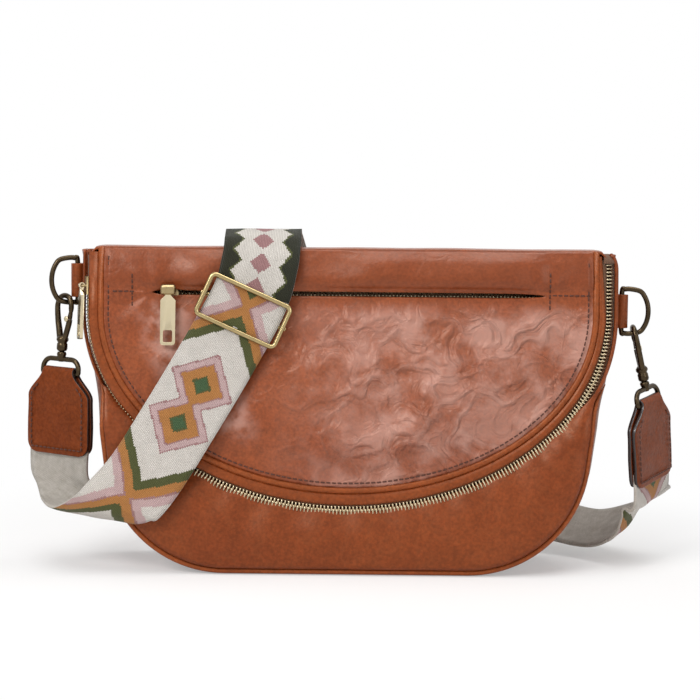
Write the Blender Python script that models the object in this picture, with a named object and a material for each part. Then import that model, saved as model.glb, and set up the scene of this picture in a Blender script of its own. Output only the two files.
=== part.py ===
# A crescent crossbody bag: a leather body with a zipped flap, a slit pocket in the flap,
# a swivel hook at each end and a wide woven strap with a slide buckle.
# X runs to the right as the bag is looked at, its front faces -Y, the floor is Z = 0.
import math

import bmesh
import bpy
from mathutils import Matrix, Vector

for old in list(bpy.data.objects):
    bpy.data.objects.remove(old, do_unlink=True)

mm = 0.001
gap = 0.3 * mm

# Body
body_height = 162 * mm
base_half_depth = 29 * mm
top_half_depth = 9 * mm
seam_half_top = 133 * mm
side_taper = 22.5 * mm
seam_half_base = seam_half_top - side_taper
corner_radius = 58 * mm
side_bulge = 6.5 * mm
top_bulge = 2.2 * mm
base_bulge = 3.6 * mm
leather = 2 * mm
lining_thickness = 0.8 * mm
piping_diameter = 3 * mm
board_thickness = 1.6 * mm

# Main zip
zip_side_room = 2 * mm
zip_floor_room = 32 * mm
zip_half_width = seam_half_top - zip_side_room
zip_shoulder = body_height - 32 * mm
zip_depth = zip_shoulder - zip_floor_room
zip_closed = body_height - 24.5 * mm
zip_end = body_height - 5 * mm
zip_split = zip_shoulder - 30 * mm
tooth_pitch = 4 * mm
tooth_width = 1.5 * mm
tooth_reach = 1 * mm
tape_inner = 1.5 * mm
tape_outer = 3.8 * mm
pocket_tape_outer = 5.5 * mm
tape_thickness = 2 * mm
left_turn = math.radians(70)
right_turn = math.radians(35)

# Flap
band_at_sides = 8.8 * mm
band_below = 11.3 * mm
flap_half_width = zip_half_width - band_at_sides
flap_depth = zip_depth - band_below
flap_top = body_height - 3 * mm
hinge_height = body_height - 1.5 * mm

# Pocket in the flap
slit_height = body_height - 22.5 * mm
slit_end_room = 24.2 * mm
slit_half_length = flap_half_width - slit_end_room
slit_width = 5 * mm
pocket_pitch = 4 * mm
pocket_floor_room = 24.2 * mm
pocket_depth = slit_height - zip_shoulder + flap_depth - pocket_floor_room
pocket_thickness = 8 * mm
pocket_wall = 1 * mm
pocket_slider_place = 8.3 * mm - slit_half_length

# Pulls
puller_length = 27 * mm
puller_width = 7.5 * mm
puller_thickness = 1.6 * mm
puller_lean = math.radians(8)
slider_length = 9 * mm
slider_plate = 1 * mm

# Rings, hooks and end tabs
wire = 2.6 * mm
ring_height = 25 * mm
ring_reach = 16 * mm
ring_centre_left = body_height - 18 * mm
ring_centre_right = body_height - 31 * mm
hook_long = 25 * mm
hook_half_width = 6.6 * mm
hook_thickness = 3 * mm
eye_width = 26 * mm
eye_height = 10 * mm
tab_length = 44 * mm
tab_top_width = 20 * mm
tab_thickness = 5.6 * mm

# Strap
strap_width = 38 * mm
strap_thickness = 1.6 * mm
strap_stand = 7 * mm
strap_straight = 9 * mm
buckle_band = 2.4 * mm
buckle_room = 1.1 * mm
buckle_long = strap_width + 2 * buckle_room + 2 * buckle_band
buckle_high = 24 * mm
buckle_thickness = 2 * mm
buckle_bar = 2.4 * mm

lean = math.atan((base_half_depth - top_half_depth) / body_height)


def linear(hex_code):
    """The linear colour of an sRGB hex code."""
    parts = [int(hex_code[k : k + 2], 16) / 255 for k in (0, 2, 4)]
    return [c / 12.92 if c <= 0.04045 else ((c + 0.055) / 1.055) ** 2.4 for c in parts] + [1]


def material(name, hex_code, roughness, metallic=0):
    made = bpy.data.materials.new(name)
    made.use_nodes = True
    shader = made.node_tree.nodes["Principled BSDF"]
    shader.inputs["Base Color"].default_value = linear(hex_code)
    shader.inputs["Roughness"].default_value = roughness
    shader.inputs["Metallic"].default_value = metallic
    return made


cognac = material("cognac_leather", "9A5433", 0.5)
edge_leather = material("piping_leather", "A65C36", 0.45)
cotton = material("lining_cotton", "8A6A50", 0.9)
board = material("stiffening_board", "5A4636", 0.8)
webbing = material("woven_webbing", "D9D0C8", 0.9)
tape_brass = material("zip_brass", "C9B48E", 0.35, 1)
antique = material("antique_brass", "6B5B45", 0.35, 1)
pale_gold = material("pale_gold", "D9CBAA", 0.3, 1)


def finish(name, mesh, coat):
    """A named object from a bmesh, with its faces turned outwards."""
    bmesh.ops.recalc_face_normals(mesh, faces=mesh.faces)
    data = bpy.data.meshes.new(name)
    mesh.to_mesh(data)
    mesh.free()
    data.materials.append(coat)
    made = bpy.data.objects.new(name, data)
    bpy.context.collection.objects.link(made)
    return made


def centred(made, place):
    """Moves an object's origin to its joint without moving its mesh."""
    made.data.transform(Matrix.Translation(-Vector(place)))
    made.location = place
    for cutter in made.children:
        cutter.matrix_parent_inverse = Matrix.Translation(-Vector(place))
    return made


def loft(rows, closed_ends=True, ring=False):
    """A skin through rows of points: each row is a closed loop and neighbours are bridged."""
    mesh = bmesh.new()
    loops = []
    for row in rows:
        points = [mesh.verts.new(p) for p in row]
        loops.append([mesh.edges.new((points[k - 1], points[k])) for k in range(len(points))])
    pairs = list(zip(loops, loops[1:]))
    if ring:
        pairs.append((loops[-1], loops[0]))
    for first, second in pairs:
        bmesh.ops.bridge_loops(mesh, edges=first + second)
    if closed_ends and not ring:
        for loop in (loops[0], loops[-1]):
            bmesh.ops.holes_fill(mesh, edges=loop, sides=len(loop))
    return mesh


def tube(points, radius, sides=8, ring=False):
    """A round tube along points, with its rings kept from twisting."""
    points = [Vector(p) for p in points]
    rows = []
    across = None
    for k, point in enumerate(points):
        before = points[k - 1] if k or ring else point
        after = points[(k + 1) % len(points)] if k + 1 < len(points) or ring else point
        along = (after - before).normalized()
        if across is None:
            across = along.orthogonal()
        across = (across - along * across.dot(along)).normalized()
        other = along.cross(across)
        turns = [math.tau * (n + 0.5) / sides for n in range(sides)]
        rows.append([point + radius * (math.cos(t) * across + math.sin(t) * other) for t in turns])
    return loft(rows, ring=ring)


def plate(outline, thickness, holes=(), matrix=None):
    """A flat plate from an outline in x and y with holes, centred on its thickness."""
    mesh = bmesh.new()
    for loop in (outline, *holes):
        points = [mesh.verts.new((x, y, -thickness / 2)) for x, y in loop]
        for k in range(len(points)):
            mesh.edges.new((points[k - 1], points[k]))
    bmesh.ops.triangle_fill(mesh, use_beauty=True, edges=mesh.edges[:])
    raised = bmesh.ops.extrude_face_region(mesh, geom=mesh.faces[:])
    verts = [v for v in raised["geom"] if isinstance(v, bmesh.types.BMVert)]
    bmesh.ops.translate(mesh, verts=verts, vec=(0, 0, thickness))
    bmesh.ops.dissolve_limit(mesh, angle_limit=0.01, verts=mesh.verts[:], edges=mesh.edges[:])
    if matrix is not None:
        bmesh.ops.transform(mesh, matrix=matrix, verts=mesh.verts[:])
    return mesh


def arc(centre, radius, start, end, count):
    """Points on an arc in x and y, in degrees."""
    turns = [math.radians(start + (end - start) * k / (count - 1)) for k in range(count)]
    return [(centre[0] + radius * math.cos(t), centre[1] + radius * math.sin(t)) for t in turns]


def rounded(width, height, radius, count=4, centre=(0, 0)):
    """A rounded rectangle's outline."""
    x, y = width / 2 - radius, height / 2 - radius
    corners = [(x, y, 0), (-x, y, 90), (-x, -y, 180), (x, -y, 270)]
    found = []
    for cx, cy, start in corners:
        found += arc((centre[0] + cx, centre[1] + cy), radius, start, start + 90, count)
    return found


def tapered(top, top_radius, bottom, bottom_radius, count=7):
    """The outline round two circles on the y axis."""
    slope = math.degrees(math.asin((top_radius - bottom_radius) / (top - bottom)))
    upper = arc((0, top), top_radius, -slope, 180 + slope, count + 2)
    return upper + arc((0, bottom), bottom_radius, 180 + slope, 360 - slope, count)


def box(low, high):
    mesh = bmesh.new()
    bmesh.ops.create_cube(mesh, size=1)
    sizes = Vector(high) - Vector(low)
    middle = (Vector(high) + Vector(low)) / 2
    bmesh.ops.scale(mesh, vec=sizes, verts=mesh.verts[:])
    bmesh.ops.translate(mesh, vec=middle, verts=mesh.verts[:])
    return mesh


def cut(made, mesh, operation="DIFFERENCE"):
    """A Boolean modifier with a hidden cutter."""
    cutter = finish(made.name + "_cutter", mesh, antique)
    cutter.parent = made
    cutter.hide_render = True
    cutter.display_type = "WIRE"
    change = made.modifiers.new(operation.lower(), "BOOLEAN")
    change.operation = operation
    change.object = cutter
    return made


def smooth_step(value):
    value = min(max(value, 0), 1)
    return value * value * (3 - 2 * value)


# The front plane leans back from the base to the top; the back plane mirrors it
def half_depth(z):
    return base_half_depth + (top_half_depth - base_half_depth) * z / body_height


def front_frame(x, z, out=0):
    """A matrix on the front plane: x across, y up the plane, z outwards."""
    up = Vector((0, math.sin(lean), math.cos(lean)))
    outward = Vector((0, -math.cos(lean), math.sin(lean)))
    place = Vector((x, -half_depth(z), z)) + outward * out
    turned = Matrix((Vector((1, 0, 0)), up, outward)).transposed().to_4x4()
    return Matrix.Translation(place) @ turned


# Outline of the body's seams: tapering sides, round corners and a flat base
def seam_half(z):
    return seam_half_base + (seam_half_top - seam_half_base) * z / body_height


side_slope = math.atan((seam_half_top - seam_half_base) / body_height)
corner_run = corner_radius / math.tan((math.pi / 2 + side_slope) / 2)
corner_centre = (seam_half(base_bulge) - corner_run, base_bulge + corner_radius)
corner_top = base_bulge + corner_run * math.cos(side_slope)
gusset_top = body_height - leather - gap
upper_count = 13
side_count = 4
corner_count = 9
base_count = 3


def seam_right():
    """Points (x, z, outward x, outward z) from the top right down to the middle of the base."""
    found = []
    tilt = (math.cos(side_slope), -math.sin(side_slope))
    for k in range(upper_count):
        z = gusset_top + (zip_split - gusset_top) * k / (upper_count - 1)
        found.append((seam_half(z), z, *tilt))
    for k in range(1, side_count):
        z = zip_split + (corner_top - zip_split) * k / side_count
        found.append((seam_half(z), z, *tilt))
    for k in range(corner_count):
        turn = -side_slope - (math.pi / 2 - side_slope) * k / (corner_count - 1)
        out = (math.cos(turn), math.sin(turn))
        x, z = (corner_centre[n] + corner_radius * out[n] for n in (0, 1))
        found.append((x, z, *out))
    for k in range(1, base_count + 1):
        found.append((corner_centre[0] * (1 - k / base_count), base_bulge, 0, -1))
    return found


def zip_point(turn):
    """The zip's line below its shoulder at an angle from level, with its outward direction."""
    x, drop = zip_half_width * math.cos(turn), zip_depth * math.sin(turn)
    out = Vector((x / zip_half_width**2, -drop / zip_depth**2)).normalized()
    return x, zip_shoulder - drop, out.x, out.y


def zip_at_height(z):
    if z >= zip_shoulder:
        return zip_half_width, z, 1, 0
    return zip_point(math.asin((zip_shoulder - z) / zip_depth))


def zip_right():
    """Zip points that answer seam_right's, one for one."""
    count = side_count - 1 + corner_count + base_count
    start = math.asin((zip_shoulder - zip_split) / zip_depth)
    found = [zip_at_height(row[1]) for row in seam_right()[:upper_count]]
    for k in range(1, count + 1):
        found.append(zip_point(start + (math.pi / 2 - start) * k / count))
    return found


def both_sides(right):
    """The right-hand stations and their mirror, from the top left round to the top right."""
    left = [(-x, z, -out_x, out_z) for x, z, out_x, out_z in right[:-1]]
    return left + right[::-1]


turn_low = zip_shoulder - 46 * mm
turn_high = zip_shoulder - 2 * mm
closing_low = zip_shoulder - 60 * mm
closing_high = zip_shoulder - 36 * mm


def zip_turn(x, z):
    """How far the chain has turned from the front round to the side."""
    most = left_turn if x < 0 else right_turn
    return most * smooth_step((z - turn_low) / (turn_high - turn_low))


def place(station, across, out):
    """A point beside the zip's line: across it towards the body, and outwards."""
    x, z, out_x, out_z = station
    turn = zip_turn(x, z)
    away = across * math.cos(turn) + out * math.sin(turn)
    height = z + out_z * away
    back = (tape_outer + gap + across) * math.sin(turn) - out * math.cos(turn)
    return Vector((x + out_x * away, back - half_depth(height), height))


def seam_place(station, inwards):
    """A point on the front seam, with a depth behind the front plane."""
    x, z = station[:2]
    return Vector((x, inwards - half_depth(z), z))


zip_stations = both_sides(zip_right())
seam_stations = both_sides(seam_right())
lip = 1.6 * mm
seam_step = leather + piping_diameter / 2 - gap
bulge_y_shares = (0, 0.17, 0.35, 0.65, 0.83, 1)
bulge_out_shares = (0, 0.7, 1, 1, 0.7, 0)


def upper_weight(z):
    """1 where the seam follows the zip round the side, 0 where it runs on the front."""
    return smooth_step((z - closing_low) / (closing_high - closing_low))


def crescent_edge(zip_station, seam_station, deep):
    """The crescent's outer edge: on the seam below, beside the zip above."""
    low = seam_place(seam_station, deep)
    high = place(zip_station, tape_outer + gap + lip, -deep)
    return low.lerp(high, upper_weight(seam_station[1]))


def gusset_edge(zip_station, seam_station):
    """The gusset's front edge, which passes from behind the crescent to beside it."""
    turn = abs(zip_turn(*zip_station[:2]))
    aside = 2 * gap * math.sin(turn)
    behind = max(gap, seam_step - aside * math.tan(turn))
    edge = crescent_edge(zip_station, seam_station, 0)
    return edge + place(zip_station, aside, -behind) - place(zip_station, 0, 0)


def bulge(station):
    z, side = station[1], abs(station[2])
    on_side = side_bulge + (top_bulge - side_bulge) * upper_weight(z)
    return base_bulge + (on_side - base_bulge) * side


def make_gusset():
    rows = []
    for zip_station, seam_station in zip(zip_stations, seam_stations):
        x, z, out_x, out_z = seam_station
        start = gusset_edge(zip_station, seam_station)
        end = Vector((x, half_depth(z) - seam_step, z))
        out = Vector((out_x, 0, out_z))
        outer = []
        for y_share, out_share in zip(bulge_y_shares, bulge_out_shares):
            outer.append(start.lerp(end, y_share) + out * bulge(seam_station) * out_share)
        inner = [p - out * leather for p in outer]
        rows.append(outer + inner[::-1])
    return finish("gusset", loft(rows), cognac)


def make_front_crescent():
    rows = []
    for zip_station, seam_station in zip(zip_stations, seam_stations):
        edge = [place(zip_station, tape_outer + gap, out) for out in (0, -leather)]
        outer = [crescent_edge(zip_station, seam_station, deep) for deep in (0, leather)]
        rows.append([edge[0], outer[0], outer[1], edge[1]])
    return finish("front_crescent", loft(rows), cognac)


def make_back_panel():
    outline = [(x, z) for x, z, _, _ in seam_stations]
    return panel("back_panel", outline, 1, leather, cognac)


def panel(name, outline, side, thickness, coat, holes=(), inset=0):
    """A sheet on the front (side -1) or back (side 1) plane, inside its surface."""
    mesh = plate(outline, thickness, holes)
    for v in mesh.verts:
        x, z, deep = v.co.x, v.co.y, thickness / 2 - v.co.z
        v.co = (x, side * (half_depth(z) - inset - deep), z)
    return finish(name, mesh, coat)


def make_top_strip():
    """The leather fold that joins the back panel to the flap."""
    front = gap - top_half_depth
    ends = (-seam_half_top + leather, seam_half_top - leather)
    low = (ends[0], front, body_height - leather)
    high = (ends[1], top_half_depth, body_height)
    made = finish("top_strip", box(low, high), cognac)
    soften(made, leather * 0.3)
    return made


def soften(made, width, segments=2):
    change = made.modifiers.new("bevel", "BEVEL")
    change.width = width
    change.segments = segments
    change.limit_method = "ANGLE"


def make_piping():
    """A round cord of leather in each seam."""
    off = piping_diameter / 2 + gap
    for name, side in (("front_piping", -1), ("back_piping", 1)):
        points = []
        for zip_station, station in zip(zip_stations, seam_stations):
            x, z, out_x, out_z = station
            point = Vector((x, half_depth(z) - leather / 2, z))
            if side < 0:
                if z > turn_low:
                    continue
                point = crescent_edge(zip_station, station, leather / 2)
            points.append(point + Vector((out_x, 0, out_z)) * off)
        finish(name, tube(points, piping_diameter / 2, 6), edge_leather)


def make_lining():
    """The cotton that lines the gusset and the back, and the board in the base."""
    inset = leather + gap
    rows = []
    for x, z, out_x, out_z in seam_stations[upper_count // 2 : -upper_count // 2]:
        near, far = x - out_x * inset, z - out_z * inset
        thin = lining_thickness
        ends = [side * (half_depth(z) - leather - 2 * gap) for side in (-1, 1)]
        if ends[0] + half_depth(z) < seam_step and z > turn_low:
            ends[0] = 0
        row = [(near, y, far) for y in ends]
        row += [(near - out_x * thin, y, far - out_z * thin) for y in ends[::-1]]
        rows.append(row)
    finish("side_lining", loft(rows), cotton)
    far_in = inset + lining_thickness + gap
    outline = [(x - ox * far_in, z - oz * far_in) for x, z, ox, oz in seam_stations[1:-1]]
    panel("back_lining", outline, 1, lining_thickness, cotton, inset=leather + gap)
    base_long, base_deep = 2 * corner_centre[0], 2 * (base_half_depth - seam_step - leather)
    base = base_bulge + leather + lining_thickness + 2 * gap
    low = (-base_long / 2, -base_deep / 2, base)
    high = (base_long / 2, base_deep / 2, base + board_thickness)
    finish("base_board", box(low, high), board)


def chain_line():
    """The zip's line as close points from its left top round to its right top."""
    steps = 120
    start = -zip_half_width
    found = [(start, zip_end, -1, 0)]
    for k in range(steps + 1):
        turn = math.pi * k / steps
        x, z, out_x, out_z = zip_point(turn if turn < math.pi / 2 else math.pi - turn)
        sign = -1 if turn < math.pi / 2 else 1
        found.append((sign * x, z, sign * out_x, out_z))
    found.append((zip_half_width, zip_end, 1, 0))
    return found


def walk(line, distances):
    """Stations at given distances along a line of stations."""
    found, run, k = [], 0, 0
    for distance in distances:
        while k < len(line) - 2:
            step = math.dist(line[k][:2], line[k + 1][:2])
            if run + step >= distance:
                break
            run += step
            k += 1
        step = math.dist(line[k][:2], line[k + 1][:2])
        share = (distance - run) / step
        found.append(tuple(a + (b - a) * share for a, b in zip(line[k], line[k + 1])))
    return found


def comb(name, stations_of, locate, sign, offset, length, pitch, plain, outer):
    """One side of a zip: a tape with a tooth drawn out of its edge at every pitch.
    plain is the length at each end that has no teeth."""
    count = int((length - 2 * plain - pitch) / pitch)
    marks = [0]
    for k in range(count):
        start = plain + pitch * (k + offset)
        marks += [start, start + tooth_width]
    marks.append(length)
    half = tape_thickness / 2
    rows = []
    for station in stations_of(marks):
        corners = ((tape_inner, half), (tape_inner, -half), (outer, -half), (outer, half))
        rows.append([locate(station, sign * a, out - half) for a, out in corners])
    mesh = loft(rows)
    mesh.faces.ensure_lookup_table()
    tips = {}
    for k in range(1, len(rows) - 1):
        near = [Vector(p) for p in (rows[k][0], rows[k][1], rows[k + 1][0], rows[k + 1][1])]
        if k % 2:
            tips[k] = sum(near, Vector()) / 4
    reach = tape_inner + tooth_reach
    centres = [(f, f.calc_center_median()) for f in mesh.faces]
    chosen = []
    for k, middle in tips.items():
        face = min(centres, key=lambda item: (item[1] - middle).length_squared)[0]
        inner = Vector(rows[k][0]) - Vector(rows[k][3])
        chosen.append((face, inner.normalized() * reach))
    for face, move in chosen:
        raised = bmesh.ops.extrude_discrete_faces(mesh, faces=[face])
        bmesh.ops.translate(mesh, verts=raised["faces"][0].verts[:], vec=move)
    return finish(name, mesh, tape_brass)


def make_main_zip():
    line = chain_line()
    length = sum(math.dist(a[:2], b[:2]) for a, b in zip(line, line[1:]))
    rows = (("main_zip_body_row", 1, 0.5), ("main_zip_flap_row", -1, 1.0))
    for name, sign, offset in rows:
        comb(name, lambda marks: walk(line, marks), place, sign, offset, length, tooth_pitch,
             zip_end - zip_closed, tape_outer)


def flap_outline(grow=0, count=29):
    """The flap's edge below its top, from the top right to the top left."""
    found = []
    for k in range(count):
        turn = math.pi * k / (count - 1)
        x = (flap_half_width + grow) * math.cos(turn)
        found.append((x, zip_shoulder - (flap_depth + grow) * math.sin(turn)))
    return [(flap_half_width + grow, flap_top)] + found + [(-flap_half_width - grow, flap_top)]


def make_flap():
    slit = rounded(2 * slit_half_length, slit_width, slit_width / 2 - gap, 3, (0, slit_height))
    panel("flap_panel", flap_outline(), -1, leather, cognac, [slit])
    off = piping_diameter / 2 + gap
    proud = piping_diameter / 2 - gap
    line = [(x, proud - half_depth(z), z) for x, z in flap_outline(off, 41)]
    finish("flap_piping", tube(line, piping_diameter / 2, 6), edge_leather)
    rows = []
    thin = leather - gap
    for station in flap_stations():
        zip_edge = [place(station, -tape_outer - gap, out) for out in (0, -thin)]
        rows.append([*piping_edge(station, 2 * off, thin), *zip_edge[::-1]])
    finish("flap_band", loft(rows), cognac)


def flap_stations():
    top = (zip_half_width, flap_top, 1, 0)
    middle = [zip_point(math.pi / 2 * k / 16) for k in range(17)]
    return both_sides([top] + middle)


def piping_edge(station, off, thin):
    """The band's edge beside the flap's piping, which answers a zip station."""
    x, z = station[:2]
    drop = max(zip_shoulder - z, 0) / zip_depth
    side = math.copysign(math.sqrt(max(1 - drop * drop, 0)), x)
    near_x = (flap_half_width + off) * side
    near_z = z if drop == 0 else zip_shoulder - (flap_depth + off) * drop
    return [Vector((near_x, deep - half_depth(near_z), near_z)) for deep in (0, thin)]


pocket_away = slit_width / 2 + tooth_reach - gap
pocket_front = leather + 2 * gap + slider_plate


def pocket_place(station, across, out):
    """A point beside the slit's line: across it upwards, and outwards from the tapes' face."""
    z = slit_height + across
    return Vector((station[0], pocket_front - half_depth(z) - out, z))


def make_pocket():
    """The slit pocket: two open rows of teeth and a pouch that hangs behind them."""
    line = [(side * slit_half_length, slit_height, 0, 1) for side in (-1, 1)]
    for name, sign, offset in (("pocket_zip_upper", 1, 0.5), ("pocket_zip_lower", -1, 1.0)):

        def shifted(station, across, out, sign=sign):
            return pocket_place(station, across + sign * pocket_away, out)

        comb(name, lambda marks: walk(line, marks), shifted, sign, offset, 2 * slit_half_length,
             pocket_pitch, 0, pocket_tape_outer)
    front = pocket_front + tape_thickness + gap
    wide = 2 * slit_half_length + 4 * pocket_wall
    top = slit_height + pocket_away + pocket_tape_outer
    span = (top - pocket_depth, top)
    back = front + pocket_thickness
    made = finish("pocket_bag", pouch(wide, span, front, back, 0), cotton)
    cut(made, pouch(wide, span, front, back, pocket_wall))
    mouth_half = pocket_away + tape_outer - gap / 2
    mouth = (slit_height - mouth_half, slit_height + mouth_half)
    cut(made, pouch(wide - 2 * pocket_wall, mouth, front - pocket_wall, front + 2 * pocket_wall, 0))


def pouch(wide, span, front, back, wall):
    """A flat box parallel to the front plane, smaller by a wall."""
    half = wide / 2 - wall
    rows = []
    for z in (span[0] + wall, span[1] - wall):
        y = (front + wall - half_depth(z), back - wall - half_depth(z))
        rows.append([(-half, y[0], z), (half, y[0], z), (half, y[1], z), (-half, y[1], z)])
    return loft(rows)


# Sliders and their pullers
window_height = 6 * mm
window_width = 4.6 * mm
knuckle_radius = 1.5 * mm
knuckle_bore = 0.95 * mm
knuckle_length = 2.7 * mm
crown_wire = 0.65 * mm
slider_rise = tape_thickness / 2 + gap + slider_plate


def frame_of(origin, across, up):
    """A matrix with x across, y up and z towards the looker."""
    across = Vector(across).normalized()
    up = (Vector(up) - across * across.dot(Vector(up))).normalized()
    turned = Matrix((across, up, across.cross(up))).transposed().to_4x4()
    return Matrix.Translation(origin) @ turned


def slider_profile(half_span, post):
    """Two plates joined by a post, as (across, outwards) from the middle of the tape."""
    inner = tape_thickness / 2 + gap
    outer = inner + slider_plate
    right = [(half_span, outer), (half_span, inner), (post, inner)]
    right += [(x, -y) for x, y in right[::-1]]
    return right + [(-x, y) for x, y in right[::-1]]


def crown_mesh(matrix, depth):
    """A bar on two legs, along the hinge of the puller."""
    half = knuckle_length / 2 + gap + crown_wire
    bend = crown_wire
    right = [(half - bend, 0, 0), (half, 0, -bend), (half, 0, -depth)]
    points = [(-x, y, z) for x, y, z in right[::-1]] + right
    return tube([matrix @ Vector(p) for p in points], crown_wire, 6)


def make_puller(name, matrix):
    """A flat puller with a knuckle at its head and a window at its foot."""
    half, neck = puller_width / 2, knuckle_length / 2
    corner = puller_width * 0.2
    shoulder = -puller_width * 0.62
    outline = [(neck, 0), (-neck, 0), (-neck, -knuckle_radius * 1.4), (-half, shoulder)]
    outline += arc((corner - half, corner - puller_length), corner, 180, 270, 4)
    outline += arc((half - corner, corner - puller_length), corner, 270, 360, 4)
    outline += [(half, shoulder), (neck, -knuckle_radius * 1.4)]
    middle = corner - puller_length + window_height / 2
    window = rounded(window_width, window_height, corner / 2, 3, (0, middle))
    made = finish(name, plate(outline, puller_thickness, [window], matrix), pale_gold)
    cut(made, knuckle(matrix, knuckle_radius, neck), "UNION")
    cut(made, knuckle(matrix, knuckle_bore, 2 * neck))
    return centred(made, matrix.translation)


def knuckle(matrix, radius, half):
    ends = [matrix @ Vector((side * half, 0, 0)) for side in (-1, 1)]
    return tube(ends, radius, 12)


def make_main_slider():
    """The slider at the left end of the main zip, with no flange on the side of the flap."""
    station = (-zip_half_width, zip_closed + slider_length / 2, -1, 0)
    rows = []
    for side in (-1, 1):
        end = (station[0], station[1] + side * slider_length / 2, -1, 0)
        profile = slider_profile(tape_outer - 3 * gap, tape_inner - 2 * gap)
        rows.append([place(end, a, out - tape_thickness / 2) for a, out in profile])
    made = finish("main_slider", loft(rows), pale_gold)
    height = slider_rise + gap + knuckle_radius
    axle = place(station, 0, height - tape_thickness / 2)
    across = place(station, -tape_inner, 0) - place(station, 0, 0)
    up = (0, math.sin(lean), math.cos(lean))
    matrix = frame_of(axle, across, up)
    cut(made, crown_mesh(matrix, height - slider_rise + slider_plate / 2), "UNION")
    make_puller("main_puller", matrix @ Matrix.Rotation(puller_lean / 4, 4, "Z"))
    return centred(made, axle)


def make_pocket_slider():
    """The slider at the left end of the slit; its plates run behind the flap's leather."""
    half = slider_length / 2
    rows = []
    for side in (-1, 1):
        end = (pocket_slider_place + side * half, slit_height)
        profile = slider_profile(pocket_away + tape_outer - 2 * gap, tape_inner - 2 * gap)
        rows.append([pocket_place(end, a, out - tape_thickness / 2) for a, out in profile])
    made = finish("pocket_slider", loft(rows), pale_gold)
    matrix = front_frame(pocket_slider_place, slit_height, gap + knuckle_radius)
    depth = pocket_front + gap + knuckle_radius - gap - slider_plate / 2
    cut(made, crown_mesh(matrix, depth), "UNION")
    make_puller("pocket_puller", matrix)
    return centred(made, matrix.translation)


# Rings, swivel hooks and the leather ends of the strap
ring_turn_left = math.radians(22)
ring_turn_right = math.radians(12)
hook_turn_left = math.radians(42)
hook_turn_right = math.radians(88)
hook_lean_left = math.radians(7)
hook_lean_right = math.radians(13)
tab_turn_left = math.radians(33)
tab_turn_right = math.radians(53)
ring_tab_height = 17 * mm
ring_tab_tail = 4.6 * mm
ring_back = 3 * mm
loop_leather = 1.6 * mm
loop_clearance = 0.4 * mm
hang_share = 0.5
neck_radius = 2.6 * mm
neck_length = 4.5 * mm
pin_radius = 1.3 * mm
rivet_radius = 1.5 * mm


def side_surface(side, z):
    """How far out the gusset's face lies at a height, at its middle."""
    zip_station = zip_at_height(z)
    zip_station = (side * zip_station[0], z, side, 0)
    seam_station = (side * seam_half(z), z, side * math.cos(side_slope), -math.sin(side_slope))
    start, end = abs(gusset_edge(zip_station, seam_station).x), seam_half(z)
    shares = zip(bulge_y_shares, bulge_out_shares)
    return max(start + (end - start) * y + bulge(seam_station) * out for y, out in shares)


def make_ring(label, side, z, turn):
    """A D-ring whose bar turns in a loop of leather sewn to the gusset."""
    loop = wire / 2 + loop_clearance + loop_leather
    half = ring_tab_height / 2
    x = side * (max(side_surface(side, z + h) for h in (-half, 0, half)) + gap + loop)
    sheet = plate_round(loop, side)
    bore = arc((0, 0), wire / 2 + loop_clearance, 0, 330, 12)
    place_of = Vector((x, ring_back, z))
    matrix = Matrix.Translation(place_of)
    finish("ring_tab_" + label, plate(sheet, 2 * half, [bore], matrix), cognac)
    tall, deep = ring_height / 2 - wire / 2, ring_reach - wire
    bend = tall * 0.15
    points = [(0, tall - bend), (bend, tall), (deep * 0.4, tall)]
    curve = [math.radians(a) for a in range(60, -61, -20)]
    points += [(deep * (0.4 + 0.6 * math.cos(a)), tall * math.sin(a) * 1.05) for a in curve]
    points += [(deep * 0.4, -tall), (bend, -tall), (0, bend - tall)]
    out = Vector((side * math.cos(turn), -math.sin(turn), 0))
    line = [place_of + out * r + Vector((0, 0, h)) for r, h in points]
    made = finish("ring_" + label, tube(line, wire / 2, 8, ring=True), antique)
    centred(made, place_of)
    return place_of + out * deep * hang_share - Vector((0, 0, tall))


def plate_round(loop, side):
    """The section of a leather loop with its tail lying back along the gusset."""
    inner = loop - 1.5 * loop_leather
    dip = math.degrees(math.asin(inner / loop))
    points = [(-side * x, y) for x, y in arc((0, 0), loop, 0, dip - 180, 14)]
    return [(-side * inner, ring_tab_tail), (-side * loop, ring_tab_tail)] + points


def hook_matrix(origin, side, turn, tilt):
    """x in the plane of the hook, y up its length."""
    up = (-side * math.sin(tilt), 0, math.cos(tilt))
    across = (math.cos(turn), side * math.sin(turn), 0)
    return frame_of(origin, across, up)


def make_hook(label, side, hang, turn, tilt):
    """A swivel hook on the ring, with its gate, the gate's rivet and the blind bore of its neck."""
    matrix = hook_matrix(hang, side, turn, tilt)
    arch = 2.4 * mm
    crown = wire / 2 + 3 * gap
    top = crown + arch - hook_half_width
    foot = crown + arch - hook_long
    low_radius = neck_radius + gap
    hole_radius = hook_half_width - arch
    hole_top = crown - hole_radius
    hole_foot = foot + 4 * low_radius
    outline = tapered(top, hook_half_width, foot + low_radius, low_radius)
    hole = tapered(hole_top, hole_radius, hole_foot, hole_radius * 0.6, 5)
    body = finish("hook_" + label, plate(outline, hook_thickness, [hole], matrix), antique)
    gate_top, gate_foot = -2 * crown, hole_foot - hole_radius * 0.3
    reach = 2 * hook_half_width
    high = hook_thickness
    mouth = box((hole_radius * 0.25, gate_foot, -high), (reach, gate_top, high))
    mouth.transform(matrix)
    cut(body, mouth)
    neck = tube([matrix @ Vector((0, y, 0)) for y in (foot + low_radius, foot - neck_length)],
                neck_radius, 12)
    cut(body, neck, "UNION")
    bore_top = foot + low_radius * 0.5
    bore = tube([matrix @ Vector((0, y, 0)) for y in (bore_top, foot - 2 * neck_length)],
                pin_radius + gap, 12)
    cut(body, bore)
    centred(body, hang)
    make_gate(label, matrix, gate_top, gate_foot, hole_radius)
    return matrix, foot - neck_length


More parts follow.
